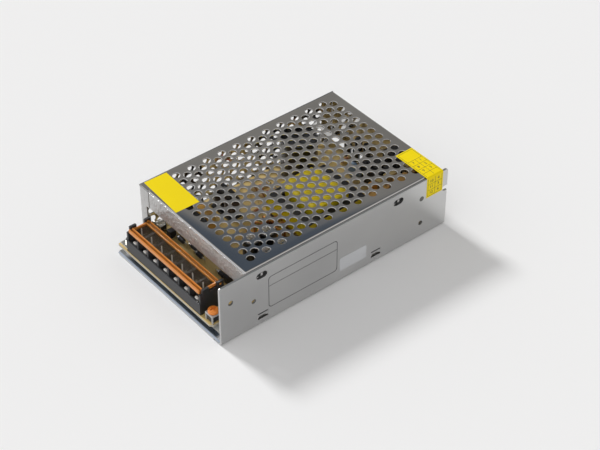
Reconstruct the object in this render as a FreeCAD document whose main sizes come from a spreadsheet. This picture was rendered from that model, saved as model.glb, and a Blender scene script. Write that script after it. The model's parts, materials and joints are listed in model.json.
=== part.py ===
import FreeCAD, Part
import math
import os
import re
import Sketcher

# Switching power supply in a perforated case.
# X runs from the terminal end (-X) to the rear, Y from the folded side wall (-Y) to the perforated
# side wall, Z up. The origin is the bottom centre of the case. Millimetres throughout.
# Places along X are measured from the front edge of the side wall, places along Y from the outer
# face of that wall, and heights from the underside.

SIZES = [
    ("case_length", 159.0, "side wall, front edge to rear edge"),
    ("case_width", 97.0, "outer face of one side wall to outer face of the other"),
    ("case_height", 40.5, "underside to the top of the cover"),
    # Chassis sheet
    ("plate_thickness", 1.3, "aluminium sheet of the chassis"),
    ("plate_bend", 1.0, "inner radius of the chassis fold"),
    ("wall_drop", 0.5, "the side wall ends this far below the cover's top"),
    ("wall_corner", 1.2, "rounding of the side wall's corners"),
    ("plate_corner", 2.2, "rounding of the bottom plate's front corner"),
    ("plate_inset", 3.6, "bottom plate's rear edge to the side wall's rear edge"),
    ("relief_length", 4.0, "bend relief at the front, along X"),
    ("relief_width", 5.4, "bend relief at the front, along Y"),
    ("lip_height", 5.6, "upturned far lip, from the underside"),
    ("lip_start", 21.0, "front end of the far lip"),
    # Openings of the side wall
    ("hook_slot_length", 7.2, "slot for a cover hook"),
    ("hook_slot_height", 4.1, "slot for a cover hook"),
    ("hook_one_place", 27.6, "first hook slot, along X"),
    ("hook_two_place", 122.5, "second hook slot, along X"),
    ("hook_rise", 34.9, "height of the hook slots"),
    ("mount_bore", 3.2, "clear mounting holes"),
    ("mount_one_place", 7.0, "front mounting hole, along X"),
    ("mount_one_rise", 26.9, "front mounting hole, height"),
    ("open_slot_place", 157.0, "centre of the open rear slot, along X"),
    ("open_slot_width", 3.5, "open rear slot"),
    ("thread_bore", 3.0, "tapped mounting holes"),
    ("tapped_one_place", 22.0, "first tapped hole, along X"),
    ("tapped_one_rise", 19.4, "first tapped hole, height"),
    ("tapped_two_place", 139.9, "rear tapped holes, along X"),
    ("tapped_two_rise", 10.6, "lower rear tapped hole, height"),
    ("clamp_rise", 28.0, "upper rear hole, which takes the clamp screw"),
    ("ledge_one_place", 27.9, "first pressed board ledge, along X"),
    ("ledge_two_place", 107.0, "second pressed board ledge, along X"),
    ("ledge_length", 6.8, "pressed board ledge, along X"),
    ("ledge_height", 2.3, "metal strip of a ledge"),
    ("ledge_slit", 1.0, "slit above and below the strip"),
    ("ledge_rise", 6.6, "middle of a ledge, height"),
    ("ledge_depth", 1.0, "how far the strip is pressed inwards"),
    ("foot_bore", 3.0, "tapped holes in the bottom plate"),
    ("foot_first", 29.5, "first bottom hole, along X"),
    ("foot_spacing", 100.0, "bottom holes, spacing along X"),
    ("foot_near", 21.0, "first bottom hole, along Y"),
    ("foot_across", 55.0, "bottom holes, spacing along Y"),
    # Cover sheet
    ("cover_thickness", 0.8, "steel sheet of the cover"),
    ("cover_front", 18.0, "front face of the cover"),
    ("cover_inset", 2.8, "cover's rear face to the side wall's rear edge"),
    ("cover_play", 0.3, "gap between the cover and the side wall"),
    ("cover_hem", 10.0, "depth of the cover's near edge inside the side wall"),
    ("flange_depth", 12.0, "front flange, from the top"),
    ("flange_end", 88.0, "far end of the front flange, along Y"),
    ("seam_gap", 0.3, "seam between the flange and the tab"),
    ("tab_width", 6.5, "lower part of the front tab"),
    ("tab_shoulder", 28.0, "height where the front tab widens"),
    ("rear_gap", 9.2, "open slit under the rear wall"),
    ("tongue_width", 5.6, "hook tongue"),
    ("notch_play", 0.5, "clearance round the tab in the board"),
    # Perforation
    ("hole_size", 4.5, "hole diameter"),
    ("column_pitch", 5.25, "spacing of the hole columns along X"),
    ("row_pitch", 6.7, "spacing of the holes in a column of the top"),
    ("top_first_x", 9.5, "first column behind the cover's front face"),
    ("top_first_y", 9.3, "first hole of a column, along Y"),
    ("top_margin", 7.0, "unperforated edge of the top"),
    ("side_first_x", 6.75, "first column of the far wall behind the cover's front face"),
    ("side_row_pitch", 6.5, "spacing of the holes in a column of the far wall"),
    ("side_first_z", 8.75, "lowest hole of the far wall"),
    ("side_margin", 5.0, "unperforated edge of the far wall"),
    # Cover screws
    ("case_screw_radius", 1.5, "shank of a cover screw"),
    ("case_head_radius", 2.6, "countersunk head of a cover screw"),
    ("case_screw_place", 34.0, "first cover screw, along X"),
    ("case_screw_spacing", 105.0, "cover screws, spacing along X"),
    ("case_screw_rise", 3.2, "cover screws, height"),
    ("case_head_height", 0.5, "countersunk head of a cover screw"),
    # Board and carriers
    ("film_thickness", 0.3, "insulation sheet"),
    ("film_margin", 0.6, "insulation sheet to the metal beside it"),
    ("board_lift", 6.0, "underside of the board"),
    ("board_thickness", 1.5, "laminate"),
    ("board_front", 0.6, "front edge of the board"),
    ("board_tail", 5.4, "board's rear edge to the side wall's rear edge"),
    ("board_near", 9.5, "near edge of the board beside the adjuster"),
    ("board_near_wide", 3.4, "near edge of the board behind the terminals"),
    ("board_step", 19.0, "place where the board widens, along X"),
    ("board_far_play", 0.9, "gap between the board and the cover's far wall"),
    ("board_corner", 1.6, "chamfer of the board's near front corner"),
    ("standoff_radius", 2.7, "hexagonal standoff, across corners half"),
    ("screw_radius", 1.45, "board screw shank"),
    ("screw_play", 0.15, "clearance round a board screw"),
    ("screw_head_radius", 2.8, "board screw head"),
    ("screw_head_height", 1.9, "board screw head"),
    ("corner_screw_x", 6.4, "board screws from the front edge"),
    ("corner_screw_y", 91.8, "far board screws, along Y"),
    ("rear_screw_x", 149.0, "rear board screws, along X"),
    ("near_screw_x", 23.5, "near front board screw, along X"),
    ("near_screw_y", 14.5, "near board screws, along Y"),
    ("earth_thickness", 0.6, "earth plate"),
    ("earth_length", 9.6, "earth plate, along X"),
    ("earth_width", 6.6, "earth plate, along Y"),
    # Terminal block
    ("way_pitch", 9.46, "terminal spacing"),
    ("way_count", 7, "number of terminals"),
    ("barrier_wall", 1.4, "barrier between two terminals"),
    ("block_front", 1.0, "front face of the block"),
    ("block_depth", 16.2, "block, along X"),
    ("block_near", 19.6, "near end of the block, along Y"),
    ("block_lip", 15.4, "top of the low front strip, height"),
    ("block_top", 20.8, "top of the barriers, height"),
    ("block_floor", 13.0, "floor of the compartments, height"),
    ("lip_wall", 1.3, "front strip, wall"),
    ("rear_wall", 1.5, "rear wall of the block"),
    ("barrier_setback", 0.5, "barriers behind the front strip"),
    ("ear_length", 4.2, "posts and ears, along X"),
    ("ear_top", 24.0, "top of the posts and ears, height"),
    ("post_front", 2.2, "front posts behind the block's front"),
    ("hinge_back", 2.2, "hinge axis to the block's rear face"),
    ("pin_radius", 0.7, "hinge pin"),
    ("pin_play", 0.08, "clearance round the hinge pin"),
    ("contact_thickness", 0.8, "contact plate"),
    ("contact_width", 7.2, "contact plate, along Y"),
    ("contact_length", 10.6, "contact plate, along X"),
    ("washer_side", 6.9, "square clamp washer"),
    ("washer_thickness", 0.9, "square clamp washer"),
    ("terminal_screw_radius", 1.6, "terminal screw shank"),
    ("terminal_head_radius", 3.1, "terminal screw head"),
    ("terminal_head_height", 2.2, "terminal screw head"),
    ("terminal_slot", 0.9, "screwdriver slot"),
    ("screw_back", 7.6, "terminal screws behind the block's front face"),
    # Hinged guard
    ("guard_thickness", 1.1, "clear panel"),
    ("guard_play", 0.3, "panel above the barriers and inside the posts"),
    ("guard_front", 0.8, "front edge of the guard behind the block's front face"),
    ("guard_rim", 2.9, "double front rim, along X"),
    ("guard_ridge", 0.7, "each ridge of the front rim"),
    ("guard_rim_height", 2.2, "front rim"),
    ("guard_barrel", 1.1, "radius of the hinge barrel"),
    # Adjuster and lamp
    ("trimmer_x", 4.9, "adjuster, along X"),
    ("trimmer_y", 13.0, "adjuster, along Y"),
    ("trimmer_side", 6.4, "adjuster body"),
    ("trimmer_foot", 1.1, "adjuster body above the board"),
    ("trimmer_height", 4.2, "adjuster body"),
    ("rotor_radius", 3.0, "adjuster rotor"),
    ("rotor_height", 2.5, "adjuster rotor"),
    ("rotor_spindle", 1.2, "rotor spindle"),
    ("rotor_play", 0.08, "clearance round and under the rotor"),
    ("lamp_x", 13.4, "lamp, along X"),
    ("lamp_y", 13.0, "lamp, along Y"),
    ("lamp_radius", 1.5, "lamp"),
    ("lamp_height", 5.2, "lamp"),
    # Main transformer
    ("core_x", 99.2, "transformer, along X"),
    ("core_y", 42.5, "transformer, along Y"),
    ("core_width", 42.0, "core, along X"),
    ("core_length", 36.6, "core, along Y"),
    ("core_height", 12.0, "core"),
    ("core_rise", 13.2, "underside of the core"),
    ("core_leg", 6.2, "outer leg of the core"),
    ("core_yoke", 6.0, "yoke of the core"),
    ("core_middle", 12.0, "middle leg of the core"),
    ("winding_width", 25.6, "taped winding, along X"),
    ("winding_height", 23.0, "taped winding"),
    ("winding_corner", 3.0, "rounding of the winding's edges"),
    ("winding_wall", 0.4, "gap between the winding and the yokes"),
    ("tape_thickness", 0.35, "tape round the core"),
    ("rail_width", 6.0, "pin rail of the bobbin, along Y"),
    ("rail_height", 5.7, "pin rail of the bobbin"),
    # Bulk capacitor
    ("bulk_x", 119.0, "bulk capacitor, along X"),
    ("bulk_y", 82.0, "bulk capacitor, along Y"),
    ("bulk_radius", 11.0, "bulk capacitor"),
    ("bulk_height", 25.5, "bulk capacitor"),
    # Output capacitors
    ("can_x", 45.0, "first output capacitor, along X"),
    ("can_y", 18.5, "first output capacitor, along Y"),
    ("can_pitch", 11.0, "output capacitors, spacing along X"),
    ("can_row", 13.0, "output capacitors, spacing along Y"),
    ("can_radius", 5.0, "output capacitor"),
    ("can_height", 22.0, "output capacitor"),
    # Output inductor
    ("ring_x", 68.0, "output inductor, along X"),
    ("ring_y", 45.0, "output inductor, along Y"),
    ("ring_radius", 7.6, "inductor core"),
    ("ring_bore", 4.0, "inductor core, bore radius"),
    ("ring_height", 9.0, "inductor core"),
    ("wire_radius", 0.65, "inductor and choke wire"),
    ("ring_turns", 14, "turns on the inductor"),
    # Common mode choke
    ("choke_x", 64.3, "choke, along X"),
    ("choke_y", 79.5, "choke, along Y"),
    ("choke_depth", 5.0, "choke core, along X"),
    ("choke_length", 14.0, "choke core, along Y"),
    ("choke_height", 14.5, "choke core"),
    ("choke_limb", 3.6, "choke core, limb"),
    ("choke_base", 1.5, "base under the choke"),
    ("coil_radius", 4.6, "choke winding"),
    ("coil_play", 0.3, "gap between a winding and its core"),
    # X capacitor
    ("film_cap_x", 46.0, "X capacitor, along X"),
    ("film_cap_y", 76.0, "X capacitor, along Y"),
    ("film_cap_width", 6.2, "X capacitor, along X"),
    ("film_cap_length", 13.2, "X capacitor, along Y"),
    ("film_cap_height", 12.2, "X capacitor"),
    ("film_cap_corner", 0.8, "rounding of its edges"),
    # Disc parts
    ("disc_x", 137.0, "Y capacitor, along X"),
    ("disc_y", 57.0, "Y capacitor, along Y"),
    ("disc_radius", 4.6, "Y capacitor"),
    ("disc_thickness", 3.2, "Y capacitor"),
    ("inrush_x", 49.5, "inrush thermistor, along X"),
    ("inrush_y", 89.0, "inrush thermistor, along Y"),
    ("inrush_radius", 5.2, "inrush thermistor"),
    ("inrush_thickness", 4.2, "inrush thermistor"),
    ("lead_radius", 0.4, "component leads"),
    ("lead_height", 2.6, "disc parts above the board"),
    # Fuse
    ("fuse_x", 32.0, "fuse, along X"),
    ("fuse_y", 88.5, "fuse, along Y"),
    ("fuse_radius", 2.6, "fuse tube"),
    ("fuse_length", 20.0, "fuse"),
    ("fuse_cap", 5.2, "metal cap of the fuse"),
    ("fuse_rise", 5.0, "fuse axis above the board"),
    ("clip_thickness", 0.5, "fuse clip"),
    # Bridge rectifier
    ("bridge_x", 37.0, "bridge rectifier, along X"),
    ("bridge_y", 73.0, "bridge rectifier, along Y"),
    ("bridge_width", 4.6, "bridge rectifier, along X"),
    ("bridge_length", 19.0, "bridge rectifier, along Y"),
    ("bridge_height", 14.0, "bridge rectifier"),
    # Driver transformer
    ("driver_x", 146.0, "driver transformer, along X"),
    ("driver_y", 46.0, "driver transformer, along Y"),
    ("driver_width", 12.0, "driver transformer, along X"),
    ("driver_length", 16.0, "driver transformer, along Y"),
    ("driver_height", 13.0, "driver transformer"),
    ("driver_leg", 3.2, "driver transformer core, limb"),
    # Power devices on the side wall
    ("device_width", 10.0, "power device, along X"),
    ("device_thickness", 3.1, "moulded body of a power device"),
    ("device_tab", 1.3, "metal tab of a power device"),
    ("device_body", 13.4, "height of the moulded body"),
    ("device_height", 15.5, "power device with its tab"),
    ("device_rise", 14.5, "underside of a power device"),
    ("device_spacing", 17.0, "the two transistors, spacing along X"),
    ("pad_thickness", 0.4, "insulating pad"),
    ("clamp_thickness", 1.2, "clamp bar"),
    ("clamp_width", 4.6, "clamp bar"),
    ("clamp_screw_radius", 1.4, "clamp screw shank"),
    ("clamp_head_radius", 2.8, "clamp screw head"),
    ("clamp_head_height", 2.0, "clamp screw head"),
    ("rectifier_x", 72.0, "output rectifier, along X"),
    ("rectifier_reach", 10.5, "stud beside the output rectifier, along X"),
    # Control parts
    ("chip_x", 128.0, "control chip, along X"),
    ("chip_y", 18.0, "control chip, along Y"),
    ("chip_length", 19.4, "control chip"),
    ("chip_width", 6.4, "control chip body"),
    ("chip_span", 7.6, "rows of chip legs"),
    ("chip_height", 3.4, "control chip body"),
    ("leg_pitch", 2.54, "chip leg spacing"),
    ("leg_width", 0.6, "chip leg"),
    ("small_x", 132.0, "small capacitors, along X"),
    ("small_y", 30.0, "small capacitors, along Y"),
    ("small_pitch", 8.0, "small capacitors, spacing"),
    ("small_radius", 2.5, "small capacitor"),
    ("small_height", 11.0, "small capacitor"),
    ("resistor_x", 90.0, "power resistors, along X"),
    ("resistor_y", 74.0, "power resistors, along Y"),
    ("resistor_pitch", 7.0, "power resistors, spacing along Y"),
    ("resistor_radius", 2.2, "power resistor"),
    ("resistor_length", 12.0, "power resistor"),
    ("resistor_rise", 3.4, "resistor axis above the board"),
]

# Places worked out from the driving sizes
PLACES = {
    "front_x": "-case_length / 2",
    "rear_x": "case_length / 2",
    "near_y": "-case_width / 2",
    "far_y": "case_width / 2",
    "wall_height": "case_height - wall_drop",
    "wall_inner_y": "-case_width / 2 + plate_thickness",
    "plate_end_x": "case_length / 2 - plate_inset",
    "lip_outer_y": "case_width / 2 - cover_thickness",
    "cover_front_x": "-case_length / 2 + cover_front",
    "cover_rear_x": "case_length / 2 - cover_inset",
    "cover_near_y": "-case_width / 2 + plate_thickness + cover_play",
    "cover_inner_z": "case_height - cover_thickness",
    "film_top": "plate_thickness + film_thickness",
    "board_top": "board_lift + board_thickness",
    "block_front_x": "-case_length / 2 + block_front",
    "block_rear_x": "-case_length / 2 + block_front + block_depth",
    "block_near_y": "-case_width / 2 + block_near",
    "block_length": "way_pitch * way_count + barrier_wall",
    "hinge_x": "-case_length / 2 + block_front + block_depth - hinge_back",
    "hinge_z": "block_top + guard_play + guard_barrel",
    "device_near_y": "-case_width / 2 + plate_thickness + pad_thickness",
    "device_depth": "device_tab + device_thickness",
    "clamp_x": "-case_length / 2 + tapped_two_place",
    "stud_x": "-case_length / 2 + rectifier_x - rectifier_reach",
}

FLAT = FreeCAD.Rotation()
ALONG_X = FreeCAD.Rotation(FreeCAD.Vector(0, 1, 0), 90)
ALONG_Y = FreeCAD.Rotation(FreeCAD.Vector(1, 0, 0), -90)

doc = FreeCAD.newDocument("power_supply")
sheet = doc.addObject("Spreadsheet::Sheet", "Sizes")
for row, (alias, value, meaning) in enumerate(SIZES, start=1):
    sheet.set(f"A{row}", alias)
    sheet.set(f"B{row}", str(value))
    sheet.set(f"C{row}", meaning)
    sheet.setAlias(f"B{row}", alias)
doc.recompute()

NODES = []


def formula(text):
    """Turn a size formula into an expression on the sheet's cells."""
    text = str(text)
    for _ in range(3):
        for word, meaning in PLACES.items():
            text = re.sub(rf"\b{word}\b", f"({meaning})", text)
    return re.sub(r"\b([a-z]+(?:_[a-z]+)+)\b", r"Sizes.\1", text)


def number(alias):
    return float(sheet.get(alias))


def bind(item, **formulas):
    for name, text in formulas.items():
        item.setExpression(name, formula(text))
    return item


def place(item, x, y, z, turn=FLAT):
    item.Placement = FreeCAD.Placement(FreeCAD.Vector(), turn)
    item.setExpression("Placement.Base.x", formula(x))
    item.setExpression("Placement.Base.y", formula(y))
    item.setExpression("Placement.Base.z", formula(z))
    return item


def keep(item, label):
    """Name a finished sub-part, which gets a file of its own."""
    item.Label = label
    NODES.append(item)
    return item


# Part primitives, each placed by its lowest corner or the start of its axis
def box(x, y, z, length, width, height):
    item = doc.addObject("Part::Box", "block")
    bind(item, Length=length, Width=width, Height=height)
    return place(item, x, y, z)


def cylinder(x, y, z, radius, height, turn=FLAT):
    item = doc.addObject("Part::Cylinder", "round")
    bind(item, Radius=radius, Height=height)
    return place(item, x, y, z, turn)


def prism(x, y, z, radius, height, sides, turn=FLAT):
    item = doc.addObject("Part::Prism", "prism")
    item.Polygon = sides
    bind(item, Circumradius=radius, Height=height)
    return place(item, x, y, z, turn)


def rod(x, y, z, radius, height, turn=FLAT):
    """A round part drawn with twenty flat sides, which keeps its mesh light."""
    return prism(x, y, z, radius, height, 20, turn)


def fuse(*items):
    item = doc.addObject("Part::MultiFuse", "joined")
    item.Shapes = list(items)
    return item


def cut(base, *tools):
    item = doc.addObject("Part::Cut", "cut")
    item.Base = base
    item.Tool = tools[0] if len(tools) == 1 else fuse(*tools)
    return item


def group(*items):
    """Several like solids that share one node."""
    item = doc.addObject("Part::Compound", "set")
    item.Links = list(items)
    return item


# Feature bodies, built from sketches whose points are bound to the sheet
def new_body(name):
    return doc.addObject("PartDesign::Body", name)


def sketch_on(body, role, offset="0"):
    sketch = body.newObject("Sketcher::SketchObject", "sketch")
    plane = [item for item in body.Origin.OriginFeatures if item.Role == role][0]
    sketch.AttachmentSupport = [(plane, "")]
    sketch.MapMode = "FlatFace"
    sketch.setExpression(".AttachmentOffset.Base.z", formula(offset))
    return sketch


def pin_point(sketch, geometry, corner, x, y):
    for kind, text in (("DistanceX", x), ("DistanceY", y)):
        index = sketch.addConstraint(Sketcher.Constraint(kind, -1, 1, geometry, corner, 1.0))
        sketch.setExpression(f"Constraints[{index}]", formula(text))


def outline(sketch, points):
    """A closed outline of straight lines through the given corners."""
    first = sketch.GeometryCount
    count = len(points)
    ring = [FreeCAD.Vector(math.cos(math.tau * i / count), math.sin(math.tau * i / count), 0)
            for i in range(count)]
    for i in range(count):
        sketch.addGeometry(Part.LineSegment(ring[i], ring[(i + 1) % count]))
    for i in range(count):
        sketch.addConstraint(Sketcher.Constraint("Coincident", first + i, 2, first + (i + 1) % count, 1))
    for i, (x, y) in enumerate(points):
        pin_point(sketch, first + i, 1, x, y)


def rectangle(sketch, x, y, width, height):
    outline(sketch, [(x, y), (f"{x} + {width}", y),
                     (f"{x} + {width}", f"{y} + {height}"), (x, f"{y} + {height}")])


def circle(sketch, x, y, radius):
    index = sketch.addGeometry(Part.Circle(FreeCAD.Vector(), FreeCAD.Vector(0, 0, 1), 1.0))
    pin_point(sketch, index, 3, x, y)
    size = sketch.addConstraint(Sketcher.Constraint("Radius", index, 1.0))
    sketch.setExpression(f"Constraints[{size}]", formula(radius))


def add_pad(body, sketch, length, both_ways=False, backwards=False):
    pad = body.newObject("PartDesign::Pad", "pad")
    pad.Profile = sketch
    pad.SideType = "Symmetric" if both_ways else "One side"
    pad.Reversed = backwards
    pad.setExpression("Length", formula(length))
    doc.recompute()
    return pad


def add_pocket(body, sketch, length, both_ways=False, backwards=False):
    before = body.Shape.Volume
    pocket = body.newObject("PartDesign::Pocket", "pocket")
    pocket.Profile = sketch
    pocket.SideType = "Symmetric" if both_ways else "One side"
    pocket.Reversed = backwards
    pocket.setExpression("Length", formula(length))
    doc.recompute()
    if body.Shape.Volume >= before:
        raise RuntimeError(f"pocket {pocket.Name} of {body.Name} removes nothing")
    return pocket


def edges_where(feature, test):
    """Names of the straight edges whose two ends both pass the test."""
    names = []
    for index, edge in enumerate(feature.Shape.Edges, start=1):
        if len(edge.Vertexes) == 2 and all(test(vertex.Point) for vertex in edge.Vertexes):
            names.append(f"Edge{index}")
    return names


def add_fillet(body, radius, test):
    base = body.Tip
    fillet = body.newObject("PartDesign::Fillet", "fillet")
    fillet.Base = (base, edges_where(base, test))
    fillet.setExpression("Radius", formula(radius))
    body.Tip = fillet
    doc.recompute()
    return fillet


def near(value, target):
    return abs(value - target) < 1e-4


def ring_points(x, y, radius, sides):
    return [(f"{x} + {radius} * cos({360 / sides * i})", f"{y} + {radius} * sin({360 / sides * i})")
            for i in range(sides)]


front = -number("case_length") / 2
rear = number("case_length") / 2
near_side = -number("case_width") / 2
far_side = number("case_width") / 2
sheet_metal = number("plate_thickness")


# Chassis: bottom plate, side wall and far lip folded from one sheet
def make_chassis():
    body = new_body("chassis")
    profile = sketch_on(body, "YZ_Plane")
    outline(profile, [
        ("near_y", "0"),
        ("lip_outer_y", "0"),
        ("lip_outer_y", "lip_height"),
        ("lip_outer_y - plate_thickness", "lip_height"),
        ("lip_outer_y - plate_thickness", "plate_thickness"),
        ("wall_inner_y", "plate_thickness"),
        ("wall_inner_y", "wall_height"),
        ("near_y", "wall_height"),
    ])
    add_pad(body, profile, "case_length", both_ways=True)
    wall_in = near_side + sheet_metal
    add_fillet(body, "plate_bend", lambda p: near(p.y, wall_in) and near(p.z, sheet_metal))
    add_fillet(body, "plate_bend + plate_thickness", lambda p: near(p.y, near_side) and near(p.z, 0))
    cut_chassis_outline(body)
    cut_wall_openings(body)
    for name in ("one", "two"):
        press_ledge(body, f"front_x + ledge_{name}_place")
    cut_foot_holes(body)
    return keep(body, "chassis")


def cut_chassis_outline(body):
    trim = sketch_on(body, "XY_Plane", "lip_height + 1")
    rectangle(trim, "plate_end_x", "wall_inner_y + plate_bend", "plate_inset + 1", "case_width")
    rectangle(trim, "front_x - 1", "wall_inner_y + plate_bend", "relief_length + 1",
              "(relief_width - plate_bend)")
    add_pocket(body, trim, "lip_height + 2")
    lip = sketch_on(body, "XY_Plane", "lip_height + 1")
    rectangle(lip, "front_x - 1", "lip_outer_y - plate_thickness - 1", "lip_start + 1",
              "plate_thickness + 2")
    add_pocket(body, lip, "lip_height + 1 - plate_thickness")
    lip_outer = far_side - number("cover_thickness")
    add_fillet(body, "plate_corner", lambda p: near(p.x, front) and near(p.y, lip_outer))
    top = number("case_height") - number("wall_drop")
    for end in (front, rear):
        add_fillet(body, "wall_corner", lambda p: near(p.x, end) and near(p.z, top))


def cut_wall_openings(body):
    holes = sketch_on(body, "XZ_Plane", "-near_y")
    circle(holes, "front_x + mount_one_place", "mount_one_rise", "mount_bore / 2")
    for x, z in (("front_x + tapped_one_place", "tapped_one_rise"),
                 ("front_x + tapped_two_place", "tapped_two_rise"),
                 ("front_x + tapped_two_place", "clamp_rise")):
        outline(holes, ring_points(x, z, "(thread_bore / 2)", 12))
    for name in ("one", "two"):
        round_slot(holes, f"front_x + hook_{name}_place")
    add_pocket(body, holes, "plate_thickness")
    open_slot = sketch_on(body, "XZ_Plane", "-near_y")
    rectangle(open_slot, "front_x + open_slot_place", "mount_one_rise - open_slot_width / 2",
              "case_length", "open_slot_width")
    add_pocket(body, open_slot, "plate_thickness")
    seat = sketch_on(body, "XZ_Plane", "-near_y")
    outline(seat, ring_points("front_x + open_slot_place", "mount_one_rise", "(open_slot_width / 2)", 12))
    add_pocket(body, seat, "plate_thickness")


def round_slot(sketch, x):
    """A lying slot with round ends, each end a half ring of short sides."""
    reach = "(hook_slot_length - hook_slot_height) / 2"
    radius = "(hook_slot_height / 2)"
    points = []
    for side, first in (("+", -90), ("-", 90)):
        for i in range(7):
            turn = first + 30 * i
            points.append((f"{x} {side} {reach} + {radius} * cos({turn})",
                           f"hook_rise + {radius} * sin({turn})"))
    outline(sketch, points)


def press_ledge(body, x):
    """Two slits through the wall, and the strip between them pressed inwards."""
    window = sketch_on(body, "XZ_Plane", "-near_y")
    rectangle(window, f"{x} - ledge_length / 2", "ledge_rise - ledge_height / 2 - ledge_slit",
              "ledge_length", "(ledge_height + 2 * ledge_slit)")
    add_pocket(body, window, "plate_thickness")
    strip = sketch_on(body, "XY_Plane", "ledge_rise - ledge_height / 2")
    slope = "1.5 * ledge_depth"
    left = f"{x} - ledge_length / 2"
    right = f"{x} + ledge_length / 2"
    outline(strip, [
        (left, "near_y"),
        (f"{left} + {slope}", "near_y + ledge_depth"),
        (f"{right} - {slope}", "near_y + ledge_depth"),
        (right, "near_y"),
        (right, "wall_inner_y"),
        (f"{right} - {slope}", "wall_inner_y + ledge_depth"),
        (f"{left} + {slope}", "wall_inner_y + ledge_depth"),
        (left, "wall_inner_y"),
    ])
    add_pad(body, strip, "ledge_height")


def cut_foot_holes(body):
    feet = sketch_on(body, "XY_Plane", "plate_thickness")
    for i in range(2):
        for j in range(2):
            circle(feet, f"front_x + foot_first + {i} * foot_spacing",
                   f"near_y + foot_near + {j} * foot_across", "foot_bore / 2")
    add_pocket(body, feet, "plate_thickness")
    screws = sketch_on(body, "XZ_Plane", "-far_y")
    for i in range(2):
        outline(screws, ring_points(f"front_x + case_screw_place + {i} * case_screw_spacing",
                                    "case_screw_rise", "(case_screw_radius / cos(15))", 12))
    add_pocket(body, screws, "2 * plate_thickness + 2 * cover_thickness", backwards=True)


# Cover: top, far wall, near hem, front flange, front tab and rear wall folded from one sheet
def make_cover():
    body = new_body("cover_sheet")
    profile = sketch_on(body, "YZ_Plane", "cover_front_x")
    outline(profile, [
        ("far_y", "0"),
        ("far_y", "case_height"),
        ("cover_near_y", "case_height"),
        ("cover_near_y", "case_height - cover_hem"),
        ("cover_near_y + cover_thickness", "case_height - cover_hem"),
        ("cover_near_y + cover_thickness", "cover_inner_z"),
        ("far_y - cover_thickness", "cover_inner_z"),
        ("far_y - cover_thickness", "0"),
    ])
    add_pad(body, profile, "cover_rear_x - cover_front_x")
    flange = sketch_on(body, "YZ_Plane", "cover_front_x")
    outline(flange, [
        ("cover_near_y", "case_height - flange_depth"),
        ("near_y + flange_end", "case_height - flange_depth"),
        ("near_y + flange_end", "case_height - cover_thickness"),
        ("cover_near_y", "case_height - cover_thickness"),
    ])
    add_pad(body, flange, "cover_thickness")
    tab = sketch_on(body, "YZ_Plane", "cover_front_x")
    outline(tab, [
        ("far_y - cover_thickness", "film_top + cover_play"),
        ("far_y - cover_thickness", "case_height - cover_thickness"),
        ("near_y + flange_end + seam_gap", "case_height - cover_thickness"),
        ("near_y + flange_end + seam_gap", "tab_shoulder"),
        ("far_y - tab_width", "tab_shoulder"),
        ("far_y - tab_width", "film_top + cover_play"),
    ])
    add_pad(body, tab, "cover_thickness")
    back = sketch_on(body, "YZ_Plane", "cover_rear_x - cover_thickness")
    outline(back, [
        ("cover_near_y", "rear_gap"),
        ("far_y - cover_thickness", "rear_gap"),
        ("far_y - cover_thickness", "cover_inner_z"),
        ("cover_near_y", "cover_inner_z"),
    ])
    add_pad(body, back, "cover_thickness")
    round_cover_folds(body)
    add_hooks(body)
    seat_screws(body)
    return keep(cut(body, punch_holes()), "cover")


def round_cover_folds(body):
    top = number("case_height")
    start = front + number("cover_front")
    end = rear - number("cover_inset")
    hem = near_side + sheet_metal + number("cover_play")

    def on_fold(p):
        return near(p.z, top) and (near(p.x, start) or near(p.x, end) or near(p.y, far_side)
                                   or near(p.y, hem))

    add_fillet(body, "0.95 * cover_thickness", on_fold)


def add_hooks(body):
    for name in ("one", "two"):
        tongue = sketch_on(body, "XZ_Plane", "-cover_near_y - cover_thickness")
        rectangle(tongue, f"front_x + hook_{name}_place - tongue_width / 2",
                  "hook_rise - cover_thickness / 2", "tongue_width", "cover_thickness")
        add_pad(body, tongue, "cover_thickness + cover_play + plate_thickness / 2")


def punch_holes():
    """Punches for both perforated walls: two interleaved grids each, every punch a hexagonal bar."""
    radius = 0.55 * number("hole_size")
    depth = 4 * number("cover_thickness")
    step = 2 * number("column_pitch")
    start = front + number("cover_front")
    end = rear - number("cover_inset") - number("top_margin")
    across = number("row_pitch")
    rise = number("side_row_pitch")
    top = number("case_height")
    punches = []
    for shift in (0, 1):
        x_first = start + number("top_first_x") + shift * number("column_pitch")
        y_first = near_side + number("top_first_y") + shift * across / 2
        for x in steps(x_first, end, step):
            for y in steps(y_first, far_side - number("top_margin"), across):
                punches.append(bar((x, y, top - depth), (0, 0, 2 * depth), radius))
        x_first = start + number("side_first_x") + (1 - shift) * number("column_pitch")
        z_first = number("side_first_z") + shift * rise / 2
        for x in steps(x_first, end, step):
            for z in steps(z_first, top - number("side_margin"), rise):
                punches.append(bar((x, far_side - depth, z), (0, 2 * depth, 0), radius))
    item = doc.addObject("Part::Feature", "punches")
    item.Shape = Part.makeCompound(punches)
    return item


def steps(first, last, step):
    return [first + i * step for i in range(int((last - first) / step) + 1)]


def bar(base, length, radius):
    """A hexagonal bar along its length, one corner towards X."""
    side = FreeCAD.Vector(0, 0, 1) if length[1] else FreeCAD.Vector(0, 1, 0)
    corners = []
    for i in range(7):
        turn = math.tau * i / 6
        corners.append(FreeCAD.Vector(base) + FreeCAD.Vector(radius * math.cos(turn), 0, 0)
                       + side * radius * math.sin(turn))
    return Part.Face(Part.makePolygon(corners)).extrude(FreeCAD.Vector(length))


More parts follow.
